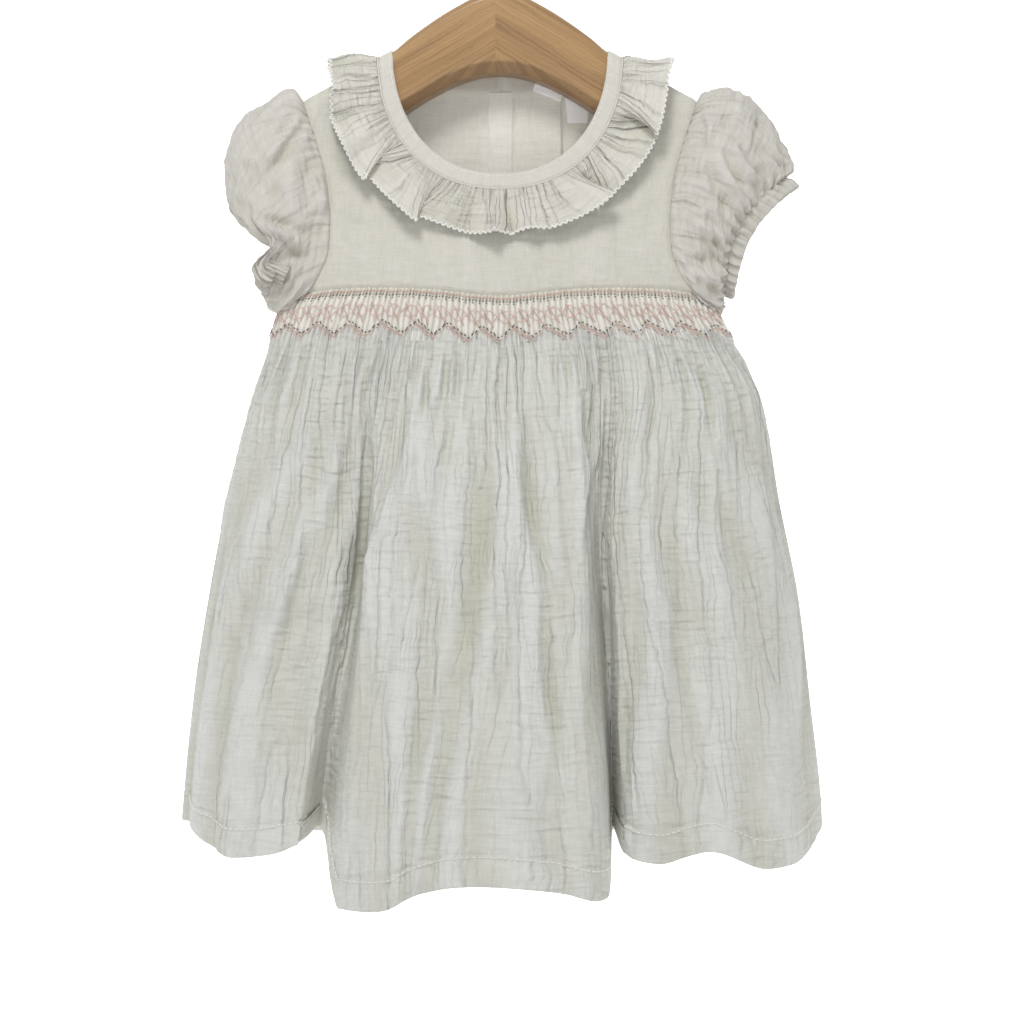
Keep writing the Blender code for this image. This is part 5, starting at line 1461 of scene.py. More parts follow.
def ruffle_surface(columns, shares, sizes):
    """The ruffle's points: fine gathers at the seam grow into rolling waves, doubled over in places."""
    seam, way, outward, up, along = ruffle_frames(columns)
    length = along[-1] - along[0]
    place = (along - along[0]) / length
    near_shoulder = bump_at(seam[:, 1], RUFFLE_SHOULDER_SPREAD)
    lift = RUFFLE_LIFT + RUFFLE_SHOULDER_LIFT * near_shoulder
    waves = sizes.ruffle_waves
    phase = 2 * math.pi * (waves * place + 0.85 * soft_noise(place * waves / 2.0, 0.3, 71))
    size = 0.55 + 0.6 * soft_noise(place * waves / 1.3, 3.2, 72)
    shape = shares[:, None]
    drift = 1.1 * soft_noise(place * waves / 2.0, shape * 1.3, 73) * shape
    phase = phase[None] + drift
    grow = shape**1.15
    wave = sizes.ruffle_wave / MM * size * grow * np.cos(phase)
    sway = -1.9 * size * grow * np.sin(2 * phase) - 0.8 * size * grow * np.sin(phase)
    fine = 2 * math.pi * (118 * place + 1.1 * soft_noise(place * 45, 0.5, 74))
    uneven = 0.6 + 0.6 * soft_noise(place * 70, shape * 2.2, 77)
    gathers = 0.75 * np.cos(fine)[None] * uneven * np.exp(
        -((shape / 0.42) ** 1.5)
    ) * smooth_step(shape / 0.05 + 0.3)
    folds = soft_noise(place * 44, shape * 0.9, 78) * smooth_step(shape * 2.5) * 3.0
    gathers = gathers + folds
    reach = 0.6 + RUFFLE_WIDTH * shape * (1.0 + 0.15 * soft_noise(place * waves / 1.2, 5.5, 75)[None])
    reach = reach - 0.8 * shape * np.cos(phase) * size
    u = place[None] * length * 2.1 + 0 * shape
    v = RUFFLE_WIDTH * shape + 0 * place[None]
    crinkle = gauze_relief(u, v, sizes, 76, 0.45) * smooth_step(shape * 4)
    for flip_x, flip_z, side, strength, on_top in RUFFLE_FLIPS:
        behind = np.where(seam[:, 1] * side > 0, 0.0, 1e3)
        centre = int(np.argmin(np.hypot(seam[:, 0] - flip_x, seam[:, 2] - flip_z) + behind))
        away = (along - along[centre]) / FLIP_WIDTH
        turned = away * np.exp(-(away**2))
        sway = sway * (1 - 0.7 * bump_at(away, 1.3)) - FLIP_REACH * strength * shape**1.2 * turned
        wave = wave * (1 - 0.6 * bump_at(away, 1.3)) + FLIP_STACK * on_top * shape * turned
        reach = reach + 1.6 * on_top * shape * turned
    height = RUFFLE_STAND + reach * np.sin(lift) + wave + gathers + crinkle
    forward = reach * np.cos(lift)
    points = seam[None] + outward[None] * forward[..., None] + up[None] * height[..., None]
    points = points + way[None] * sway[..., None]
    tuck = smooth_step(1 - shares / 0.06)[:, None]
    points = points - up[None] * (0.5 * tuck)[..., None]
    return points, u, v, wave + gathers + crinkle


def sew_ruffle(sizes, threads, finishes):
    columns = 1250
    shares = np.concatenate([np.linspace(0, 0.12, 6), np.linspace(0.12, 0.95, 24)[1:], [0.98, 1.0]])
    points, u, v, relief = ruffle_surface(columns, shares, sizes)
    running = running_length(points[-1])
    teeth = np.abs(np.sin(math.pi * running / running[-1] * int(running[-1] * MM / threads.picot)))
    points[-1] += unit(points[-2] - points[-6]) * (2.1 * teeth)[:, None]
    piece = add_sheet("ruffle", points, u, v, finishes["trim"], painted_fold_shade(relief, 1.4))
    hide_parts("collar_ruffle")
    edge = points[-1]
    inward = unit(points[-1] - points[-3])
    normals = grid_normals(points[-3:])[-1]
    along = running_length(edge)
    pitch = threads.picot / MM
    loops = int(running[-1] / pitch)
    count = loops * 9 + 1
    wanted = np.linspace(0, along[-1], count)
    path = read_at(wanted, along, edge) + unit(read_at(wanted, along, inward)) * 0.1
    add_tube("ruffle_picot", path, unit(read_at(wanted, along, normals)), 0.5, 6, finishes["cream"])


# ------------------------------------------------------------------ smocked band


def arc_places(shares):
    """Shares of the half width at even distances round the front, from the left side seam to the right."""
    turn = np.linspace(-math.pi / 2, math.pi / 2, CURVE_POINTS)
    across = np.sign(np.sin(turn)) * np.abs(np.sin(turn)) ** (2.0 / BODY_POWER)
    ring = body_point(across * half_width(BAND_MIDDLE, across), BAND_MIDDLE, FRONT)
    x = points_at(ring, shares)[..., 0]
    return x / half_width(BAND_MIDDLE, x)


def pleat_height(phase):
    """Height of a smocked pleat: a full round crest and a narrow valley."""
    return np.abs(np.sin(math.pi * phase)) ** 0.85


def chevron_place(phase):
    """Place in the chevron's repeat at a pleat's phase, a little uneven as worked by hand."""
    return np.mod(phase * CHEVRONS / SMOCK_PLEATS + 0.1 * soft_noise(phase / 7.0, 0.5, 80), 1.0)


def chevron_share(phase):
    """Share down the band of the chevron row at a pleat's phase: a long fall, then a shorter climb."""
    place = chevron_place(phase)
    fall = np.clip(place / CHEVRON_FALL, 0, 1)
    climb = np.clip((place - CHEVRON_FALL) / (1 - CHEVRON_FALL), 0, 1)
    uneven = 0.03 * soft_noise(phase / 5.0, 2.5, 79)
    return CHEVRON_PEAK + (CHEVRON_VALLEY - CHEVRON_PEAK) * (fall - climb) + uneven


def band_frame(phase, share):
    """Points and normals of the smooth surface under the pleats, and how far the pleats reach there."""
    phase, share = np.broadcast_arrays(np.asarray(phase, dtype=float), np.asarray(share, dtype=float))
    across = arc_places((phase / SMOCK_PLEATS).ravel()).reshape(phase.shape)
    x = across * (BAND_BOTTOM_HALF_WIDTH - 6)
    top = waist_seam(x)
    z = top + (band_bottom(x) - top) * share
    points = body_point(across * half_width(z, across), z, FRONT)
    normals = unit(body_normals(points, FRONT) * (1, 1, 0.4))
    ends = smooth_step(phase / 0.8) * smooth_step((SMOCK_PLEATS - phase) / 0.8)
    return points, normals, ends


def band_pleats(phase, share, sizes):
    """Height of the pleats: drifting a little, unevenly tall, and pinched flat under each stitched row."""
    drift = 0.22 * soft_noise(phase / 1.3, share * 2.4, 82) + 0.12 * soft_noise(phase / 0.7, share * 4.0, 84)
    stitched = 0.5 + 0.5 * smooth_step((share - 0.08) / 0.25)
    pinch = 0.4 * bump_at(share - CABLE_SHARE, 0.06) + 0.3 * bump_at(share - chevron_share(phase), 0.06)
    uneven = 1.0 + 0.3 * soft_noise(phase / 1.7, share * 2.5, 81)
    height = sizes.pleat / MM * stitched * uneven * (1 - pinch)
    return height * pleat_height(phase + drift), height


def sew_smocked_band(sizes, finishes):
    columns, rows = SMOCK_PLEATS * 8 + 1, 36
    phase = np.linspace(0, SMOCK_PLEATS, columns)[None]
    share = np.linspace(-0.03, 1.06, rows)[:, None]
    points, normals, ends = band_frame(phase, share)
    pleats, _ = band_pleats(phase, share, sizes)
    u = phase * 6.5 + 0 * share
    v = share * 27.0 + 0 * phase
    fine = gauze_relief(u, v, sizes, 83, 0.3)
    tuck = smooth_step((0.03 - share) / 0.05) * 1.5 + smooth_step(
        (share - chevron_share(phase) - 0.03) / 0.06
    ) * 0.9
    points = points + normals * (0.3 + pleats * ends + fine - tuck)[..., None]
    # painted shade: darker between the pleats' crests
    hollow = np.clip(1.0 - 1.5 * pleats / (sizes.pleat / MM), 0, 1)
    piece = add_sheet("smocked_front", points, u, v, finishes["smocked"], hollow)
    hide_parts("smocked_band")


def band_stitches(name, starts, ends, out, thickness, material, sizes, bow=0.3):
    """Stitches on the pleats' crests, from one phase and share to another."""
    places = []
    for phase, share in (starts.T, ends.T):
        points, normals, fade = band_frame(phase, share)
        _, crest = band_pleats(phase, share, sizes)
        places.append(points + normals * (0.3 + crest * fade * 0.94 + out)[:, None])
    first, last = places
    ways = last - first
    length = np.linalg.norm(ways, axis=1)
    return add_stitches(
        name, (first + last) / 2, ways, normals, length, thickness, material, bow
    )


def sew_smocking(sizes, threads, finishes):
    """Rope stitches at the head, two rows of dark dashes, a trellis, and the chevron of dark over pink."""
    thick = threads.smocking / MM

    def row(name, phases, low, high, lean, out, size, finish, bow=0.3):
        starts = np.stack([phases - lean / 2, low(phases - lean / 2)], axis=1)
        ends = np.stack([phases + lean / 2, high(phases + lean / 2)], axis=1)
        keep = (starts[:, 0] > 0.15) & (ends[:, 0] < SMOCK_PLEATS - 0.15)
        band_stitches(name, starts[keep], ends[keep], out, size * thick, finishes[finish], sizes, bow)

    def level(share, wander=0.008):
        return lambda phase: share + wander * np.sin(phase * 2.3) + wander * np.sin(phase * 0.9)

    steps = np.arange(0.3, SMOCK_PLEATS, 0.6)
    row("cable_pink", steps, level(CABLE_SHARE + 0.03), level(CABLE_SHARE - 0.03), 0.24, 0.1, 1.5, "pink")
    row(
        "cable_dark_1", steps, level(DARK_CABLE_SHARE), level(DARK_CABLE_SHARE - 0.03), 0.3, 0.1, 0.85,
        "dark",
    )
    row(
        "cable_dark_2", steps[::2], level(DARK_CABLE_SHARE + 0.03), level(DARK_CABLE_SHARE + 0.05), 0.3,
        0.05, 0.75, "dark",
    )

    def lens(sign):
        def share(phase):
            turn = 2 * math.pi * chevron_place(phase)
            return TRELLIS_MIDDLE + sign * TRELLIS_REACH * np.sin(turn) + 0.015 * np.sin(3.1 * phase)

        return share

    steps = np.arange(0.4, SMOCK_PLEATS, 0.5)
    row("trellis_upper", steps, lens(1), lens(1), 0.55, 0.0, 1.0, "pale", 0.5)
    row("trellis_lower", steps, lens(-1), lens(-1), 0.55, 0.0, 1.0, "pale", 0.5)
    starts, ends = [], []
    for k in range(2 * CHEVRONS):
        head = (k + 0.1) * SMOCK_PLEATS / (2 * CHEVRONS) + 0.3 * math.sin(k * 1.7)
        for step in range(4):
            low, high = 0.27 + 0.1 * step, 0.39 + 0.1 * step
            starts.append((head + 0.5 * step, low))
            ends.append((head + 0.5 * step + 0.58, high))
    starts, ends = np.array(starts), np.array(ends)
    keep = (starts[:, 0] > 0.15) & (ends[:, 0] < SMOCK_PLEATS - 0.15)
    band_stitches(
        "trellis_diagonals", starts[keep], ends[keep], 0.1, 1.0 * thick, finishes["pink"], sizes, 0.5
    )

    def chevron(drop):
        return lambda phase: (
            chevron_share(phase) + drop + 0.02 * np.sin(phase * 5.3) + 0.012 * np.sin(phase * 9.1)
        )

    steps = np.arange(0.35, SMOCK_PLEATS, 0.45)
    row("chevron_pink", steps, chevron(0.035), chevron(0.035), 0.5, 0.3, 0.9, "pink")
    falling = steps[chevron_place(steps) < CHEVRON_FALL]
    row("chevron_pale", falling, chevron(0.085), chevron(0.085), 0.5, 0.2, 0.8, "pale")
    steps = np.arange(0.5, SMOCK_PLEATS, 0.62)
    row("chevron_dark", steps, chevron(-0.03), chevron(-0.03), 0.36, 0.35, 1.0, "dark")


# ------------------------------------------------------------------ skirt


def fold_lines(folds, columns):
    """The folds' table read at even steps round the skirt, and each step's share along the band."""
    table = np.array(folds, dtype=float)
    hem = np.stack([table[:, 2] * HEM_HALF_WIDTH, table[:, 4]], axis=1)
    pitch = np.linalg.norm(np.diff(hem, axis=0), axis=1) ** FOLD_PITCH_POWER
    chord = np.concatenate([[0.0], np.cumsum(pitch)])
    dense = smooth_table(np.linspace(0, chord[-1], CURVE_POINTS), chord, table)
    hem_length = running_length(np.stack([dense[:, 2] * HEM_HALF_WIDTH, dense[:, 4]], axis=1))
    top_length = running_length(dense[:, :1])
    spread = 0.5 * hem_length / hem_length[-1] + 0.5 * top_length / top_length[-1]
    return read_at(np.linspace(0, 1, columns), spread, dense).T


def skirt_rows(count):
    """Shares down the skirt, closest together where the hem's fold makes a ledge."""
    first, last = HEM_LEDGE
    above = np.linspace(0, first, count - 26)
    return np.concatenate([above, np.linspace(first, last, 15)[1:], np.linspace(last, 1, 13)[1:]])


def skirt_form(folds, columns, rows, side, top_line):
    """The skirt's smooth form: rows of points, and the share round the band of each column."""
    f_top, f_middle, f_hem, y_middle, y_hem, z_hem = fold_lines(folds, columns)
    x_top = f_top * BAND_BOTTOM_HALF_WIDTH
    z_top = top_line(x_top)
    y_top = side * body_depth(f_top * half_width(z_top, f_top), z_top, side)
    levels = [0.0, FOLD_MIDDLE, 1.0]
    grid = []
    for share in rows:
        place = smooth_table(share, levels, np.stack([f_top, f_middle, f_hem]))
        y = smooth_table(share, levels, np.stack([y_top, y_middle, y_hem]))
        z = z_top + (z_hem - z_top) * share
        grid.append(np.stack([place * half_width(z, place), y, z], axis=1))
    ring = body_point(x_top, np.clip(z_top, -260, -200), side)
    arc = running_length(ring * (1, 1, 0))
    return np.array(grid), arc / arc[-1]


def skirt_head(folds, columns, arc, side, first):
    """Rows of the skirt above its seam: up to the chevron in front, and a narrow tuck behind."""
    if side == BACK:
        return first[None] + np.array([0, 0, 1.2])
    f_top = fold_lines(folds, columns)[0]
    x = f_top * (BAND_BOTTOM_HALF_WIDTH - 6)
    top = waist_seam(x)
    share = chevron_share(arc * SMOCK_PLEATS) + 0.03
    start = top + (band_bottom(x) - top) * share
    rows = []
    for weight in np.linspace(1, 0, 8)[:-1]:
        z = first[:, 2] + np.maximum(start - first[:, 2], 0.4) * weight
        rows.append(body_point(f_top * half_width(z, f_top), z, FRONT))
    return np.array(rows)


def gather_relief(arc, down, pleats, sizes, seed):
    """Gathers that start as the band's pleats, join into fewer and deeper ones and end in the drape."""
    pleated = (pleat_height(arc * pleats) - 0.62) * sizes.pleat / MM * np.exp(-((down / 17.0) ** 1.3))
    wander = soft_noise(arc * 9, down / 95, seed)
    drift = 0.55 * wander + 0.9 * soft_noise(arc * 5, down / 150, seed + 1)
    size = smooth_step(0.55 + 0.75 * soft_noise(arc * 14, down / 55, seed + 2))
    middle = np.sin(2 * math.pi * (34 * arc + drift))
    middle = middle + 0.5 * np.sin(2 * math.pi * (53 * arc - drift)) * smooth_step((70 - down) / 50)
    opens = smooth_step(down / 16.0)
    middle = middle * size * opens * (0.12 + 0.88 * np.exp(-((down / 82.0) ** 1.6)))
    streaks = soft_noise(
        arc * 62 + 2 * wander, down / 36, seed + 3
    ) * np.exp(-((down / 60.0) ** 1.4)) * opens
    drape = np.sin(2 * math.pi * (13 * arc + 1.2 * soft_noise(arc * 4, down / 210, seed + 4)))
    drape = drape * (0.35 + 0.65 * smooth_step(0.5 + 0.8 * soft_noise(arc * 6, down / 120, seed + 5)))
    drape = drape * smooth_step((down - 12) / 90)
    return pleated + sizes.gather / MM * (middle + 0.75 * streaks) + sizes.drape / MM * 0.62 * drape


def sew_skirt(
    name, node, folds, side, top_line, creases, columns, row_count, pleats, seed, sizes, threads, finishes
):
    grid, arc = skirt_form(folds, columns, skirt_rows(row_count), side, top_line)
    head = skirt_head(folds, columns, arc, side, grid[0])
    grid = np.concatenate([head, grid])
    outward = grid * (OUTWARD_SIDEWAYS, 0, 0) + np.array([0, side * OUTWARD_AHEAD, 0])
    normals = facing(grid_normals(grid), outward)
    level = unit(normals * (1, 1, 0.5))
    down = lengths_down(grid)
    down = down - down[len(head)]
    up_hem = down[-1:] - down
    spread = running_length(grid[int(0.6 * row_count)])
    u = np.broadcast_to(spread[None] * 1.05, down.shape)
    arc_grid = np.broadcast_to(arc[None], down.shape)
    gathers = gather_relief(arc_grid, np.maximum(down, 0), pleats, sizes, seed)
    gathers = gathers + (0.45 + 0.62 * sizes.pleat / MM) * np.exp(-np.maximum(down, 0) / 9.0)
    pressed = pressed_creases(grid[..., 0], grid[..., 2], creases)
    crinkle = gauze_relief(u, down, sizes, seed + 10, 1.0) * (0.35 + 0.65 * smooth_step((down - 8) / 40))
    hem = sizes.hem / MM
    doubled = smooth_step((hem - up_hem) / 0.9 + 0.5)
    crinkle = crinkle * (1 - 0.45 * doubled)
    sewn = 0.45 * bump_at(up_hem - hem, 0.7) - 0.4 * bump_at(up_hem - hem - 1.9, 1.0)
    sewn = sewn * (1.0 + 0.6 * soft_noise(u / 2.2, 0.5, seed + 12))
    puffed = doubled * (0.95 + 0.8 * soft_noise(u / 5.5, up_hem / 14, seed + 11))
    puffed = puffed * (0.6 + 0.4 * np.sin(math.pi * np.clip(up_hem / hem, 0, 1)))
    outwards = smooth_step((np.abs(normals[..., 1]) - 0.12) / 0.4)
    relief = (gathers + pressed + crinkle) * (0.1 + 0.9 * outwards) + (puffed + sewn) * outwards**2
    side_seam = np.minimum(spread, spread[-1] - spread)[None]
    relief = relief * smooth_step(side_seam / 3.0)
    sheet = grid + level * relief[..., None]
    sheet[0] -= level[0] * 0.9
    for x, z, wide, tall, rise in HEM_CORNERS if side == FRONT else ():
        sheet[..., 2] += rise * spot(sheet, x, z, wide, tall)
    for width, depth, line in FRONT_VALLEYS if side == FRONT else ():
        signed, share = line_distance(sheet[..., 0], sheet[..., 2], np.array(line, dtype=float))
        sheet[..., 1] -= depth * bump_at(signed, width) * smooth_step(share / 0.4)
    lining_rows = np.flatnonzero(up_hem[:, columns // 2] < hem - 0.5)[::-1][::2]
    inwards = np.clip(0.4 + 0.35 * np.arange(len(lining_rows)), 0, 1.0)[:, None, None]
    lining = sheet[lining_rows] - level[lining_rows] * inwards
    lining[0] -= np.array([0, 0, 0.5])
    whole = np.concatenate([sheet, lining])
    u_whole = np.concatenate([u, u[lining_rows]])
    v_whole = np.concatenate([down, 2 * down[-1:] - down[lining_rows] + 0.5])
    # painted shade: the folds' hollows, lighter near the band, and the inside of the turned-up hem
    hollow = painted_fold_shade(gathers + pressed + 0.8 * crinkle, 2.4 + 2.6 * np.exp(-np.maximum(down, 0) / 60.0))
    hollow = np.concatenate([hollow, np.full((len(lining_rows), columns), 0.3)])
    piece = add_sheet(name, whole, u_whole, v_whole, finishes["skirt"], hollow, flip=side == BACK)
    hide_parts(node)
    hem_rows = np.argmin(np.abs(up_hem - hem), axis=0)
    line = sheet[hem_rows, np.arange(columns)]
    line_normals = level[hem_rows, np.arange(columns)]
    thickness = 1.9 * threads.sewing / MM
    stitches = topstitch(
        name + "_hem_stitches", line, running_length(line), line_normals, 2.0, 0.3, thickness, threads,
        finishes,
    )
    return piece, stitches


# ------------------------------------------------------------------ sleeves and cuffs


def cuff_ring(side, turn):
    cuff = CUFFS[side]
    up = np.array(cuff["up"])
    mirror = SIGN[side]
    outward = np.array([up[2] * mirror, 0.0, -up[0] * mirror])
    ring = np.array(cuff["centre"]) + np.cos(turn)[:, None] * cuff["half"] * up
    ring = ring - np.sin(turn)[:, None] * cuff["depth"] * np.array([0.0, 1.0, 0.0])
    return ring - (cuff["bow"] * np.sin(turn) ** 2)[:, None] * outward, outward


def armhole_ring(side, columns):
    """Points and normals round the armhole: top, front, underarm, back."""
    sign = SIGN[side]
    half = columns // 2
    steps = np.concatenate([[0], np.cumsum(ARMHOLE_STEPS)])
    shares = np.interp(np.linspace(0, steps[-1], half + 1), steps, ARMHOLE_SHARES)
    edge = armhole_curve(shares)
    halves = []
    for body_side in (FRONT, BACK):
        points = body_point(sign * edge[:, 0], edge[:, 1], body_side)
        points[[0, -1], 1] = 0.0
        halves.append(np.concatenate([points, body_normals(points, body_side)], axis=1))
    ring = np.concatenate([halves[0], halves[1][::-1][1:-1]])
    return ring[:, :3], unit(ring[:, 3:])


def sleeve_form(side, columns, rows):
    sign = SIGN[side]
    turn = np.linspace(0, 2 * math.pi, columns, endpoint=False)
    start, start_normals = armhole_ring(side, columns)
    end, outward = cuff_ring(side, turn)
    weights = dict(
        top=np.maximum(np.cos(turn), 0.0) ** 2,
        under=np.maximum(-np.cos(turn), 0.0) ** 2,
        front=np.maximum(np.sin(turn), 0.0) ** 2,
        back=np.maximum(-np.sin(turn), 0.0) ** 2,
    )
    leave = np.zeros((columns, 3))
    reach = np.zeros((columns, 3))
    for line, weight in weights.items():
        way = np.array([sign, 1.0 if line == "back" else -1.0, 1.0])
        leave += weight[:, None] * np.array(SLEEVE_LINES[side][line][0]) * way
        reach += weight[:, None] * np.array(SLEEVE_LINES[side][line][1]) * way
    t = np.asarray(rows)[:, None, None]
    grid = (1 - t) ** 3 * start + 3 * (1 - t) ** 2 * t * (start + leave)
    grid = grid + 3 * (1 - t) * t**2 * (end + reach) + t**3 * end
    return grid, outward, turn, start_normals


def away_from_cuff(side, ring, outward):
    away = ring - np.array(CUFFS[side]["centre"])
    return unit(away - outward * (away @ outward)[..., None])


def sew_sleeve(side, creases, ribs, seed, sizes, finishes):
    columns, row_count = 264, 74
    rows = np.linspace(0, 1, row_count)
    grid, outward, turn, start_normals = sleeve_form(side, columns, rows)
    centre = grid.mean(axis=1, keepdims=True)
    normals = facing(grid_normals(grid, True), grid - centre)
    normals[-1] = away_from_cuff(side, grid[-1], outward)
    normals[0] = start_normals
    even_out(normals, 4)
    down = lengths_down(grid)
    round_way = running_length(np.concatenate([grid[row_count // 2], grid[row_count // 2][:1]]))
    u = np.broadcast_to(round_way[None, :-1], down.shape)
    to_cuff = down[-1:] - down
    top = np.maximum(np.cos(turn), 0.0)[None]
    turns = turn[None] / (2 * math.pi)
    wander = soft_noise(turns * 14, down / 16, seed)
    head = np.sin(2 * math.pi * (58 * turns + 0.5 * wander)) * np.sqrt(top) * np.exp(-((down / 9.0) ** 1.3))
    cuff_line = np.cos(2 * math.pi * (ribs * turns + 0.25 * wander))
    cuff_fade = np.exp(-((to_cuff / 12.0) ** 1.4))
    long_line = np.sin(2 * math.pi * (0.46 * ribs * turns + 0.9 * wander))
    long_fade = np.exp(-((to_cuff / 27.0) ** 1.7)) * (1 - np.exp(-((to_cuff / 7.0) ** 1.4)))
    soft = soft_noise(turns * 9, down / 17, seed + 1) + 0.6 * soft_noise(turns * 20, down / 13, seed + 2)
    crinkle = gauze_relief(u, down, sizes, seed + 3, 1.5)
    front = grid[..., 1] < 0
    pressed = pressed_creases(grid[..., 0], grid[..., 2], creases)
    shifted = pressed_creases(grid[..., 0] - 3.0, grid[..., 2] + 4.0, creases)
    middle = smooth_step(-grid[..., 1] / 4.0)
    pressed = np.where(front, pressed * middle, shifted * 0.9 * smooth_step(grid[..., 1] / 4.0))
    inner = smooth_step(down / 4.0) * smooth_step(to_cuff / 3.0)
    relief = 1.1 * head + sizes.cuff_rib / MM * cuff_line * cuff_fade + 1.9 * long_line * long_fade
    relief = relief + (1.3 * soft + crinkle + 1.6 * pressed) * inner
    relief = relief - 1.0 * smooth_step((0.9 - down) / 0.9)
    sheet = grid + normals * relief[..., None]
    corner_x = SIGN[side] * ARMHOLE[-1][0]
    sag = bump_at(
        np.hypot(sheet[..., 0] - corner_x, 0.8 * (sheet[..., 2] - ARMHOLE[-1][1] + 4.0)), UNDERARM_SAG_WIDTH
    )
    sheet = sheet - sag[..., None] * np.array(UNDERARM_SAG) * np.stack(
        [0 * sag, smooth_step(-sheet[..., 1] / 4.0), 1 + 0 * sag], axis=-1
    )
    for x, z, wide, tall, move in SLEEVE_PUSHES[side]:
        near = spot(sheet, x, z, wide, tall)
        sheet = sheet + (
            near * smooth_step(to_cuff / 5.0) * smooth_step(down / 4.0)
        )[..., None] * np.array(move)
    closed_u = np.concatenate([u, np.full((row_count, 1), round_way[-1])], axis=1)
    closed_down = np.concatenate([down, down[:, :1]], axis=1)
    piece = add_sheet(
        "puff_sleeve_" + side, sheet, closed_u, closed_down, finishes["gauze"], painted_fold_shade(relief, 3.2),
        closed=True,
        flip=side == "right",
    )
    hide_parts("sleeve_" + side)
    wide = 0.235 if side == "left" else 0.19


def sew_cuff(side, ribs, seed, sizes, finishes):
    columns = ribs * 12
    turn = np.linspace(0, 2 * math.pi, columns, endpoint=False)
    ring, outward = cuff_ring(side, turn)
    away = away_from_cuff(side, ring, outward)
    turns = turn / (2 * math.pi)
    rows = []
    profile = [
        (-0.9, -0.1), (-0.2, 0.15), (0.12, 0.5), (0.3, 0.85), (0.5, 1.0), (0.7, 0.9), (0.88, 0.6),
        (0.97, 0.2)
    ]
    profile += [(1.0, -0.5), (0.93, -1.1), (0.75, -1.5), (0.5, -1.6), (0.2, -1.5), (0.0, -1.2)]
    for share, out in profile:
        wander = 0.3 * soft_noise(turns * ribs / 2.3, share * 1.5, seed)
        rib = np.cos(2 * math.pi * (ribs * turns + wander))
        sharp = 1.0 - 1.4 * np.abs(np.sin(math.pi * (ribs * turns + wander))) ** 0.8
        size = 0.75 + 0.5 * soft_noise(turns * ribs / 1.3, share, seed + 1)
        depth = sizes.cuff_rib / MM * size * (0.5 * rib + 0.5 * sharp)
        edge = 0.35 * soft_noise(turns * ribs / 1.1, 0.5, seed + 2) * share
        outside = CUFF_WIDTH * share + edge
        rows.append(
            ring + outward * outside[:, None] + away * (0.75 * out + depth * (0.6 + 0.4 * abs(out)))[:, None]
        )
    grid = np.array(rows)
    around = running_length(np.concatenate([ring, ring[:1]]))
    u = np.broadcast_to(2.2 * around[None], (len(profile), columns + 1))
    across = np.cumsum(
        [0] + [math.hypot(8 * (b[0] - a[0]), b[1] - a[1]) for a, b in zip(profile[:-1], profile[1:])]
    )
    v = np.broadcast_to(across[:, None], (len(profile), columns + 1))
    # painted shade: darker between the ribs and on the cuff's inner face
    ribbed = np.array([0.5 - 0.5 * np.cos(2 * math.pi * ribs * turns)] * len(profile))
    hollow = np.clip(
        ribbed * 0.6 + np.array([0.3 if out < -0.3 else 0.0 for _, out in profile])[:, None], 0, 1
    )
    piece = add_sheet(
        "elastic_cuff_" + side, grid, u, v, finishes["gauze"], hollow, closed=True, flip=side == "right"
    )
    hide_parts("cuff_" + side)


# ------------------------------------------------------------------ buttons, labels and hanger


def turn_button(number, height, finishes):
    """A four-hole button: dished face, rolled rim, holes sunk through the dish, and a crossed thread."""
    centre = body_point(0.0, height, BACK)
    normal = body_normals(centre, BACK)
    side = np.array([1.0, 0.0, 0.0])
    up = unit(np.cross(normal, side))
    rings, spokes = 26, 64
    share = np.linspace(0, 1, rings)[:, None] * np.ones((1, spokes))
    turn = np.linspace(0, 2 * math.pi, spokes, endpoint=False)[None]
    radius = BUTTON_RADIUS * np.sin(share * math.pi / 2) ** 0.8
    x, y = radius * np.cos(turn), radius * np.sin(turn)
    rim = bump_at(radius - 0.82 * BUTTON_RADIUS, 0.13 * BUTTON_RADIUS)
    top = BUTTON_THICKNESS * (0.72 + 0.28 * rim)
    edge = smooth_step((radius / BUTTON_RADIUS - 0.9) / 0.1)
    top = top * (1 - 0.75 * edge)
    hole_reach, hole_radius = 1.15, 0.55
    for hx, hy in ((1, 1), (1, -1), (-1, 1), (-1, -1)):
        away = np.hypot(x - hx * hole_reach, y - hy * hole_reach)
        top = top - 1.3 * smooth_step((hole_radius + 0.12 - away) / 0.24)
    face = centre + side * x[..., None] + up * y[..., None] + normal * (BUTTON_STAND + top)[..., None]
    under = face[-1] - normal * (0.25 * BUTTON_THICKNESS - 0.2)
    base = centre + normal * BUTTON_STAND + 0.8 * (
        face[-1] - centre - normal * ((face[-1] - centre) @ normal)[:, None]
    )
    grid = np.concatenate([face, [under], [base], [base * 0 + centre + normal * BUTTON_STAND]])
    u = np.concatenate([x, x[-1:] * 1.05, x[-1:] * 1.1, x[-1:] * 1.2])
    v = np.concatenate([y, y[-1:] * 1.05, y[-1:] * 1.1, y[-1:] * 1.2])
    u = np.concatenate([u, u[:, :1]], axis=1) + 9 * number
    v = np.concatenate([v, v[:, :1]], axis=1)
    piece = add_sheet(
        f"shell_button_{number}", grid, u, v, finishes["shell"], closed=True
    )
    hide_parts(f"button_{number}")
    places, ways = [], []
    for offset in (-0.18, 0.18):
        for way in ((1.0, 1.0), (1.0, -1.0)):
            way = unit(np.array(way))
            shift = offset * np.array([-way[1], way[0]])
            rise = 0.76 * BUTTON_THICKNESS + (0.25 if way[1] < 0 else 0.0)
            places.append(centre + side * shift[0] + up * shift[1] + normal * (BUTTON_STAND + rise))
            ways.append(side * way[0] + up * way[1])
    thread = add_stitches(
        f"button_thread_{number}", np.array(places), np.array(ways), np.tile(normal, (4, 1)),
        2.3 * hole_reach * math.sqrt(2), 0.4, finishes["cream"],
    )
    return piece, thread


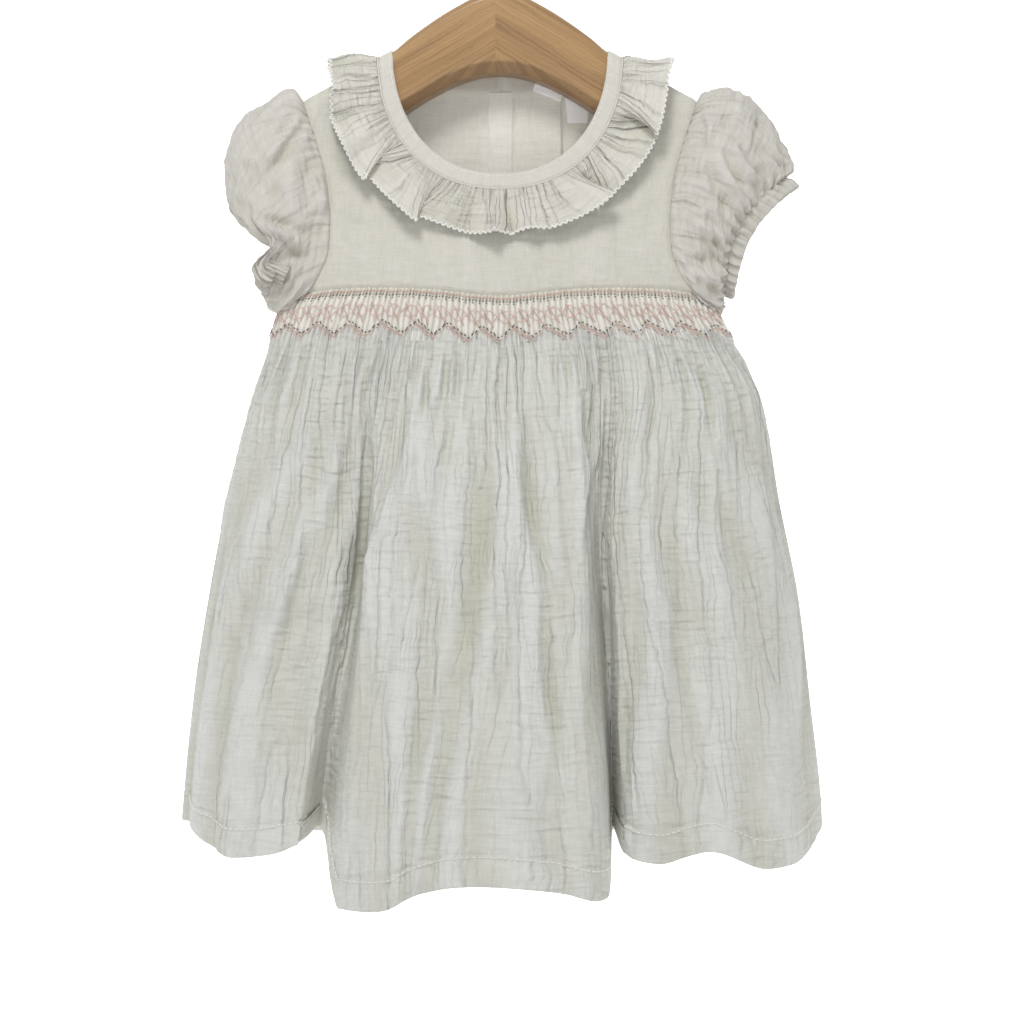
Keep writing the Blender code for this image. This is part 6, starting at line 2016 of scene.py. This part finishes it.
def sew_label(name, node, corners, curl, finishes):
    """A blank satin tape between four corners, gently curled, with its folded edges."""
    corners = np.array(corners)
    s = np.linspace(0, 1, 30)[:, None]
    t = np.linspace(0, 1, 14)[None]
    flat = (
        (1 - s)[..., None] * (1 - t)[..., None] * corners[0]
        + s[..., None] * (1 - t)[..., None] * corners[1]
        + s[..., None] * t[..., None] * corners[2]
        + (1 - s)[..., None] * t[..., None] * corners[3]
    )
    bulge = curl * np.sin(math.pi * s) * (0.6 + 0.4 * t) + 0.25 * soft_noise(s * 3, t * 2, 91)
    middle = np.stack([flat[..., 0], LABEL_PLANE - bulge, flat[..., 1]], axis=-1)
    normals = facing(grid_normals(middle), np.array([0.0, -1.0, 0.0]))
    thick = 0.32 * (1 - np.maximum(np.abs(2 * s - 1) ** 16, np.abs(2 * t - 1) ** 10)) ** 0.5
    thick = thick + 0.12 * (
        bump_at(np.minimum(s, 1 - s), 0.05) + bump_at(np.minimum(t, 1 - t), 0.08)
    ) * (thick > 0.1)
    wide = np.linalg.norm(corners[1] - corners[0])
    tall = np.linalg.norm(corners[3] - corners[0])
    u, v = s * wide + 0 * t, t * tall + 0 * s
    piece = padded_strip(name, middle, normals, thick, u, v, finishes["satin"])
    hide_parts(node)
    flat = (round(2 * wide * MM, 4), max(0.0101, round(tall * MM, 4)))


def sew_facing(sizes, threads, finishes):
    """The folded-back facing inside the back opening, with its stitched edge."""
    x = np.linspace(8.5, 34.6, 44)
    share = np.linspace(0, 1, 70)
    neck_x, neck_z = neck_curve(NECK_HALF_WIDTH, NECK_TOP, BACK_NECK_DROP, np.linspace(0, math.pi / 2, 90))
    top = np.interp(x, neck_x, neck_z) - 0.8
    bottom = -218.0
    z = top[None] + (bottom - top[None]) * share[:, None]
    x_grid = np.broadcast_to(x[None], z.shape)
    middle = body_point(x_grid, z, BACK)
    normals = body_normals(middle, BACK)
    edge = smooth_step((x[-1] - x_grid) / 1.0)
    inwards = 1.15 - 0.5 * (1 - edge) + 0.5 * bump_at(x_grid - 33.4, 0.7)
    relief = 0.6 * gauze_relief(x_grid + 90, -z, sizes, 95, 0.7)
    grid = middle - normals * (inwards + relief)[..., None]
    piece = add_sheet("back_facing", grid, x_grid + 90, -z, finishes["lining"], painted_fold_shade(relief), flip=True)
    stitch_upright("facing_stitches", (32.4,), -112.0, -216.0, -1, 1.4, threads, finishes)


MITRE = -1.6
GRAIN_SLOPE = math.radians(31.0)
CHAMFER_TALL = 6.2
CHAMFER_DEEP = 4.6


def carve_arms(finishes):
    """The wooden arms: flat faces, rounded top, a chamfer under the face, and a mitre where they meet."""
    table = np.array(HANGER_ARM)
    x = np.linspace(0, 1, 120) ** 0.8 * table[-1, 0]
    x = np.concatenate([-x[::-1], x[1:]])
    reach = np.abs(x)
    top = smooth_table(reach, table[:, 0], table[:, 1])
    bottom = smooth_table(reach, table[:, 0], table[:, 2])
    top = top - 2.0 * bump_at(reach - 92.0, 13.0)
    bottom = bottom + 0.4 * bump_at(reach, 70.0)
    past = (reach - HANGER_TAPER_STARTS) / (table[-1, 0] - HANGER_TAPER_STARTS)
    deep = HANGER_HALF_THICKNESS * (1.0 - HANGER_END_TAPER * smooth_step(past))
    tall = (top - bottom) / 2
    fit = np.clip(tall / 14.0, 0.15, 1.0)
    rings = []
    for k in range(len(x)):
        half, high = deep[k], tall[k]
        under_z, under_y = CHAMFER_TALL * fit[k], CHAMFER_DEEP * fit[k]
        over = 3.2 * fit[k]
        outline = [
            (-half + over, high), (-half, high - over), (-half, -high + under_z), (-half + under_y, -high),
            (half - under_y, -high), (half, -high + under_z), (half, high - over), (half - over, high),
        ]
        rings.append(round_outline(np.array(outline), 1.4 * fit[k], 5))
    rings = np.array(rings)
    middle = (top + bottom) / 2
    grid = np.stack(
        [
            np.broadcast_to(x[:, None], rings.shape[:2]), rings[..., 0], rings[..., 1] + middle[:, None]
        ], axis=-1
    )
    near_cap, far_cap = (edge * 0 + edge.mean(axis=1, keepdims=True) for edge in (grid[:1], grid[-1:]))
    grid = np.concatenate([near_cap, grid, far_cap])
    rows, columns = grid.shape[:2]
    quads = grid_quads(rows, columns, closed=True)
    flat = grid.reshape(-1, 3)
    corner = flat[quads]
    left = corner[..., 0].mean(axis=1, keepdims=True) < MITRE
    slope = np.where(left, -1.0, 1.0) * GRAIN_SLOPE
    along = corner[..., 0] * np.cos(slope) - corner[..., 2] * np.sin(slope)
    across = corner[..., 0] * np.sin(slope) + corner[..., 2] * np.cos(slope) + 0.8 * corner[..., 1]
    uv = np.stack([along + np.where(left, 400.0, 0.0), across], axis=-1).reshape(-1, 2)
    mitre_and_chamfer_shade = 0.5 * bump_at(flat[:, 0] - MITRE, 0.6)
    under = np.interp(np.abs(flat[:, 0]), reach[len(reach) // 2 :], bottom[len(reach) // 2 :]) + CHAMFER_TALL
    # painted shade: darker on the chamfer under the face, which turns down away from the light
    mitre_and_chamfer_shade = mitre_and_chamfer_shade + 0.45 * smooth_step((under - flat[:, 2]) / 1.2)
    end_grain = 0.25 * smooth_step((np.abs(flat[:, 0]) - 117.5) / 1.5)
    piece = add_mesh("beech_arms", flat, quads, finishes["wood"], uv, {"hollow": mitre_and_chamfer_shade + end_grain})
    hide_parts("hanger_arms")
    return piece


def round_outline(outline, radius, steps):
    """A closed outline with every corner cut back and rounded."""
    points = []
    count = len(outline)
    for k in range(count):
        here, before, after = outline[k], outline[k - 1], outline[(k + 1) % count]
        to_before, to_after = before - here, after - here
        first = here + to_before * min(0.45, radius / max(np.linalg.norm(to_before), 1e-6))
        last = here + to_after * min(0.45, radius / max(np.linalg.norm(to_after), 1e-6))
        for step in range(steps):
            t = step / (steps - 1)
            points.append((1 - t) ** 2 * first + 2 * (1 - t) * t * here + t**2 * last)
    return np.array(points)


def bend_hook(finishes):
    """The plated hook: stem, round bend and rounded tip, with a small collar on the wood."""
    radius = HOOK_INNER_RADIUS + HOOK_WIRE / 2
    angles = np.radians(np.linspace(HOOK_START_ANGLE, HOOK_END_ANGLE, 90))
    bend = np.stack([radius * np.cos(angles), -HOOK_INNER_RADIUS + radius * np.sin(angles)], axis=1)
    foot = HANGER_ARM[0][1] + SEAM_GAP
    stem = np.array(HOOK_STEM) + (0, foot)
    line = bent_curve(np.concatenate([stem, bend[::6]]), 240)
    path = np.stack([line[:, 0], np.zeros(len(line)), line[:, 1]], axis=1)
    hook = add_tube(
        "wire_hook", path, np.array([0.0, -1.0, 0.0]), HOOK_WIRE / 2, 24, finishes["steel"]
    )
    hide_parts("hanger_hook")
    heights = np.array([foot - 0.2, foot, foot + 0.9, foot + 1.1, foot + 1.2])
    sizes = np.array([2.0, 3.4, 3.4, 3.0, 1.9])
    turn = np.linspace(0, 2 * math.pi, 40, endpoint=False)
    grid = np.stack(
        [
            np.cos(turn)[None] * sizes[:, None], np.sin(turn)[None] * sizes[:, None],
            heights[:, None] + 0 * turn[None]
        ],
        axis=-1,
    )
    u = np.broadcast_to(np.linspace(0, 12, 41)[None], (5, 41))
    v = np.broadcast_to(heights[:, None], (5, 41))
    collar = add_sheet("hook_collar", grid, u, v, finishes["steel"], closed=True, flip=True)
    return hook, collar


# ------------------------------------------------------------------ stage

CAMERA_PLACE = (6.6, -1300.0, -344.7)
LENS = 81.818
FLOOR_UNDER = 0.12
FLOOR_GLOW_FROM = -0.25
FLOOR_GLOW_TO = 0.1
PAPER_GLOW = 0.85


def lay_paper(colour):
    """A sheet of pale paper swept from the floor up into the backdrop, which glows a clean white behind."""
    floor = CAD_BOX[0][2] - FLOOR_UNDER
    profile = [(-3.2, floor), (0.9, floor)]
    for turn in np.linspace(0, math.pi / 2, 14):
        profile.append((0.9 + 0.7 * math.sin(turn), floor + 0.7 - 0.7 * math.cos(turn)))
    profile.append((1.6, floor + 3.4))
    widths = np.linspace(-3.5, 3.5, 12)
    points = np.array([[(x, y, z) for x in widths] for y, z in profile])
    mesh = bpy.data.meshes.new("studio_paper")
    quads = grid_quads(*points.shape[:2])
    mesh.from_pydata(
        [tuple(p) for p in points.reshape(-1, 3)], [], [tuple(int(c) for c in q) for q in quads]
    )
    mesh.shade_smooth()
    finish = Finish("pale_paper", 0.9, Specular_IOR_Level=0.1, Emission_Color=(1.0, 1.0, 1.0, 1.0))
    depth = finish.tree.nodes.new("ShaderNodeSeparateXYZ")
    finish.put(depth.inputs[0], finish.node("ShaderNodeTexCoord", output="Object"))
    glow = finish.ranged(depth.outputs[1], FLOOR_GLOW_FROM, FLOOR_GLOW_TO, 0.0, PAPER_GLOW)
    finish.put(finish.shader.inputs["Emission Strength"], glow)
    shade = finish.ranged(finish.node("ShaderNodeTexNoise", Scale=900.0, Detail=2.0), 0.3, 0.7, 0.98, 1.0)
    mesh.materials.append(finish.done(finish.shaded(tuple(colour), shade)))
    stage = bpy.data.objects.new("studio_paper", mesh)
    bpy.context.scene.collection.objects.link(stage)


def build_stage(settings):
    scene = bpy.context.scene
    lay_paper(settings.backdrop)
    lights = (
        ("key_light", (-0.2, -0.9, 0.78), settings.key, 0.45),
        ("fill_light", (0.14, -1.6, -0.3), settings.fill, 0.4),
    )
    aim = np.array([0.0, 0.0, -0.33])
    for name, place, power, size in lights:
        lamp = bpy.data.lights.new(name, "AREA")
        lamp.shape = "DISK"
        lamp.size = size
        lamp.energy = power
        light = bpy.data.objects.new(name, lamp)
        way = unit(aim - np.array(place))
        light.location = place
        light.rotation_mode = "QUATERNION"
        light.rotation_quaternion = look_along(way)
        scene.collection.objects.link(light)
    world = bpy.data.worlds.new("pale_room")
    world.use_nodes = True
    sky = world.node_tree.nodes["Background"]
    sky.inputs["Color"].default_value = (0.97, 0.98, 1.0, 1.0)
    sky.inputs["Strength"].default_value = settings.sky
    scene.world = world
    lens = bpy.data.cameras.new("front_camera")
    lens.lens = LENS
    lens.sensor_width = 36.0
    lens.clip_start, lens.clip_end = 0.05, 20.0
    camera = bpy.data.objects.new("front_camera", lens)
    camera.location = [c * MM for c in CAMERA_PLACE]
    camera.rotation_euler = (math.pi / 2, 0.0, 0.0)
    scene.collection.objects.link(camera)
    scene.camera = camera
    scene.view_settings.view_transform = "Standard"
    scene.view_settings.look = "None"


def look_along(way):
    return Vector(way).to_track_quat("-Z", "Y")


# ------------------------------------------------------------------ operators


class DRESS_OT_yokes(bpy.types.Operator):
    """Sew the front yoke and both halves of the back yoke"""

    bl_idname = "dress.yokes"
    bl_label = "Yokes"

    def execute(self, context):
        finishes = dress_finishes(context)
        sew_front_yoke(context.scene.dress_sizes, finishes)
        sew_back_yokes(context.scene.dress_sizes, finishes)
        return {"FINISHED"}


class DRESS_OT_placket(bpy.types.Operator):
    """Sew the back placket with its buttonholes, and the facing inside the opening"""

    bl_idname = "dress.placket"
    bl_label = "Placket and facing"

    def execute(self, context):
        finishes = dress_finishes(context)
        sew_placket(context.scene.dress_sizes, context.scene.dress_threads, finishes)
        sew_facing(context.scene.dress_sizes, context.scene.dress_threads, finishes)
        return {"FINISHED"}


class DRESS_OT_neckband(bpy.types.Operator):
    """Bind the neck with a strip, a cord along its seam and a row of stitches"""

    bl_idname = "dress.neckband"
    bl_label = "Neckband"

    def execute(self, context):
        sew_neckband(context.scene.dress_sizes, context.scene.dress_threads, dress_finishes(context))
        return {"FINISHED"}


class DRESS_OT_ruffle(bpy.types.Operator):
    """Gather the collar ruffle round the neck and loop its edge"""

    bl_idname = "dress.ruffle"
    bl_label = "Ruffle"

    def execute(self, context):
        sew_ruffle(context.scene.dress_sizes, context.scene.dress_threads, dress_finishes(context))
        return {"FINISHED"}


class DRESS_OT_smocking(bpy.types.Operator):
    """Pleat the front band and stitch its cables, trellis and chevrons"""

    bl_idname = "dress.smocking"
    bl_label = "Smocked band"

    def execute(self, context):
        finishes = dress_finishes(context)
        sew_smocked_band(context.scene.dress_sizes, finishes)
        sew_smocking(context.scene.dress_sizes, context.scene.dress_threads, finishes)
        return {"FINISHED"}


class DRESS_OT_skirt(bpy.types.Operator):
    """Gather the front and back skirt, press their folds and turn up the hem"""

    bl_idname = "dress.skirt"
    bl_label = "Skirt"

    def execute(self, context):
        finishes = dress_finishes(context)
        sizes, threads = context.scene.dress_sizes, context.scene.dress_threads

        def back_top(x):
            return waist_seam(np.asarray(x) * 119.0 / BAND_BOTTOM_HALF_WIDTH)

        front, front_stitches = sew_skirt(
            "skirt_front_gauze", "skirt_front", FRONT_FOLDS, FRONT, band_bottom, FRONT_SKIRT_CREASES,
            505, 174,
            SMOCK_PLEATS, 101, sizes, threads, finishes,
        )
        back, back_stitches = sew_skirt(
            "skirt_back_gauze", "skirt_back", BACK_FOLDS, BACK, back_top, BACK_SKIRT_CREASES, 340, 190,
            52, 141, sizes, threads, finishes,
        )
        return {"FINISHED"}


class DRESS_OT_sleeves(bpy.types.Operator):
    """Sew both puff sleeves and their elastic cuffs"""

    bl_idname = "dress.sleeves"
    bl_label = "Sleeves and cuffs"

    def execute(self, context):
        finishes = dress_finishes(context)
        sizes = context.scene.dress_sizes
        for side, creases, ribs, seed in (
            ("left", LEFT_SLEEVE_CREASES, 30, 171),
            ("right", RIGHT_SLEEVE_CREASES, 38, 191),
        ):
            sew_sleeve(side, creases, ribs, seed, sizes, finishes)
            sew_cuff(side, ribs, seed + 9, sizes, finishes)
        return {"FINISHED"}


class DRESS_OT_buttons(bpy.types.Operator):
    """Turn the back buttons and sew them on"""

    bl_idname = "dress.buttons"
    bl_label = "Buttons"

    def execute(self, context):
        finishes = dress_finishes(context)
        for number, height in enumerate(BUTTON_HEIGHTS, start=1):
            turn_button(number, height, finishes)
        return {"FINISHED"}


class DRESS_OT_labels(bpy.types.Operator):
    """Sew the blank loop label and care label inside the back neck"""

    bl_idname = "dress.labels"
    bl_label = "Labels"

    def execute(self, context):
        finishes = dress_finishes(context)
        sew_label("satin_loop_label", "label_loop", LOOP_LABEL, 0.9, finishes)
        sew_label("satin_care_label", "label_care", CARE_LABEL, 0.7, finishes)
        return {"FINISHED"}


class DRESS_OT_hanger(bpy.types.Operator):
    """Carve the wooden arms and bend the wire hook"""

    bl_idname = "dress.hanger"
    bl_label = "Hanger"

    def execute(self, context):
        finishes = dress_finishes(context)
        carve_arms(finishes)
        bend_hook(finishes)
        return {"FINISHED"}


class DRESS_OT_stage(bpy.types.Operator):
    """Lay the pale floor and backdrop, and set the lights and camera"""

    bl_idname = "dress.stage"
    bl_label = "Stage"

    def execute(self, context):
        build_stage(context.scene.dress_stage)
        return {"FINISHED"}


OPERATORS = (
    DRESS_OT_stage,
    DRESS_OT_yokes,
    DRESS_OT_placket,
    DRESS_OT_neckband,
    DRESS_OT_ruffle,
    DRESS_OT_smocking,
    DRESS_OT_skirt,
    DRESS_OT_sleeves,
    DRESS_OT_buttons,
    DRESS_OT_labels,
    DRESS_OT_hanger,
)


class DRESS_PT_pieces(bpy.types.Panel):
    """The dress's pieces, in the order in which they are sewn"""

    bl_idname = "DRESS_PT_pieces"
    bl_label = "Toddler Dress"
    bl_space_type = "VIEW_3D"
    bl_region_type = "UI"
    bl_category = "Dress"

    def draw(self, context):
        column = self.layout.column(align=True)
        for operator in OPERATORS:
            column.operator(operator.bl_idname)
        for group in SETTINGS:
            box = self.layout.box()
            settings = getattr(context.scene, group)
            for key in SETTINGS[group].__annotations__:
                box.prop(settings, key)


SETTINGS = {
    "dress_sizes": DressSizes,
    "dress_threads": ThreadSizes,
    "dress_colours": DressColours,
    "dress_stage": StageSettings,
}
CLASSES = (*SETTINGS.values(), *OPERATORS, DRESS_PT_pieces)


def register():
    for cls in CLASSES:
        bpy.utils.register_class(cls)
    for name, cls in SETTINGS.items():
        setattr(bpy.types.Scene, name, PointerProperty(type=cls))


def unregister():
    for name in SETTINGS:
        delattr(bpy.types.Scene, name)
    for cls in reversed(CLASSES):
        bpy.utils.unregister_class(cls)


def main():
    register()
    for operator in OPERATORS:
        group, name = operator.bl_idname.split(".")
        getattr(getattr(bpy.ops, group), name)()


if __name__ == "__main__":
    main()
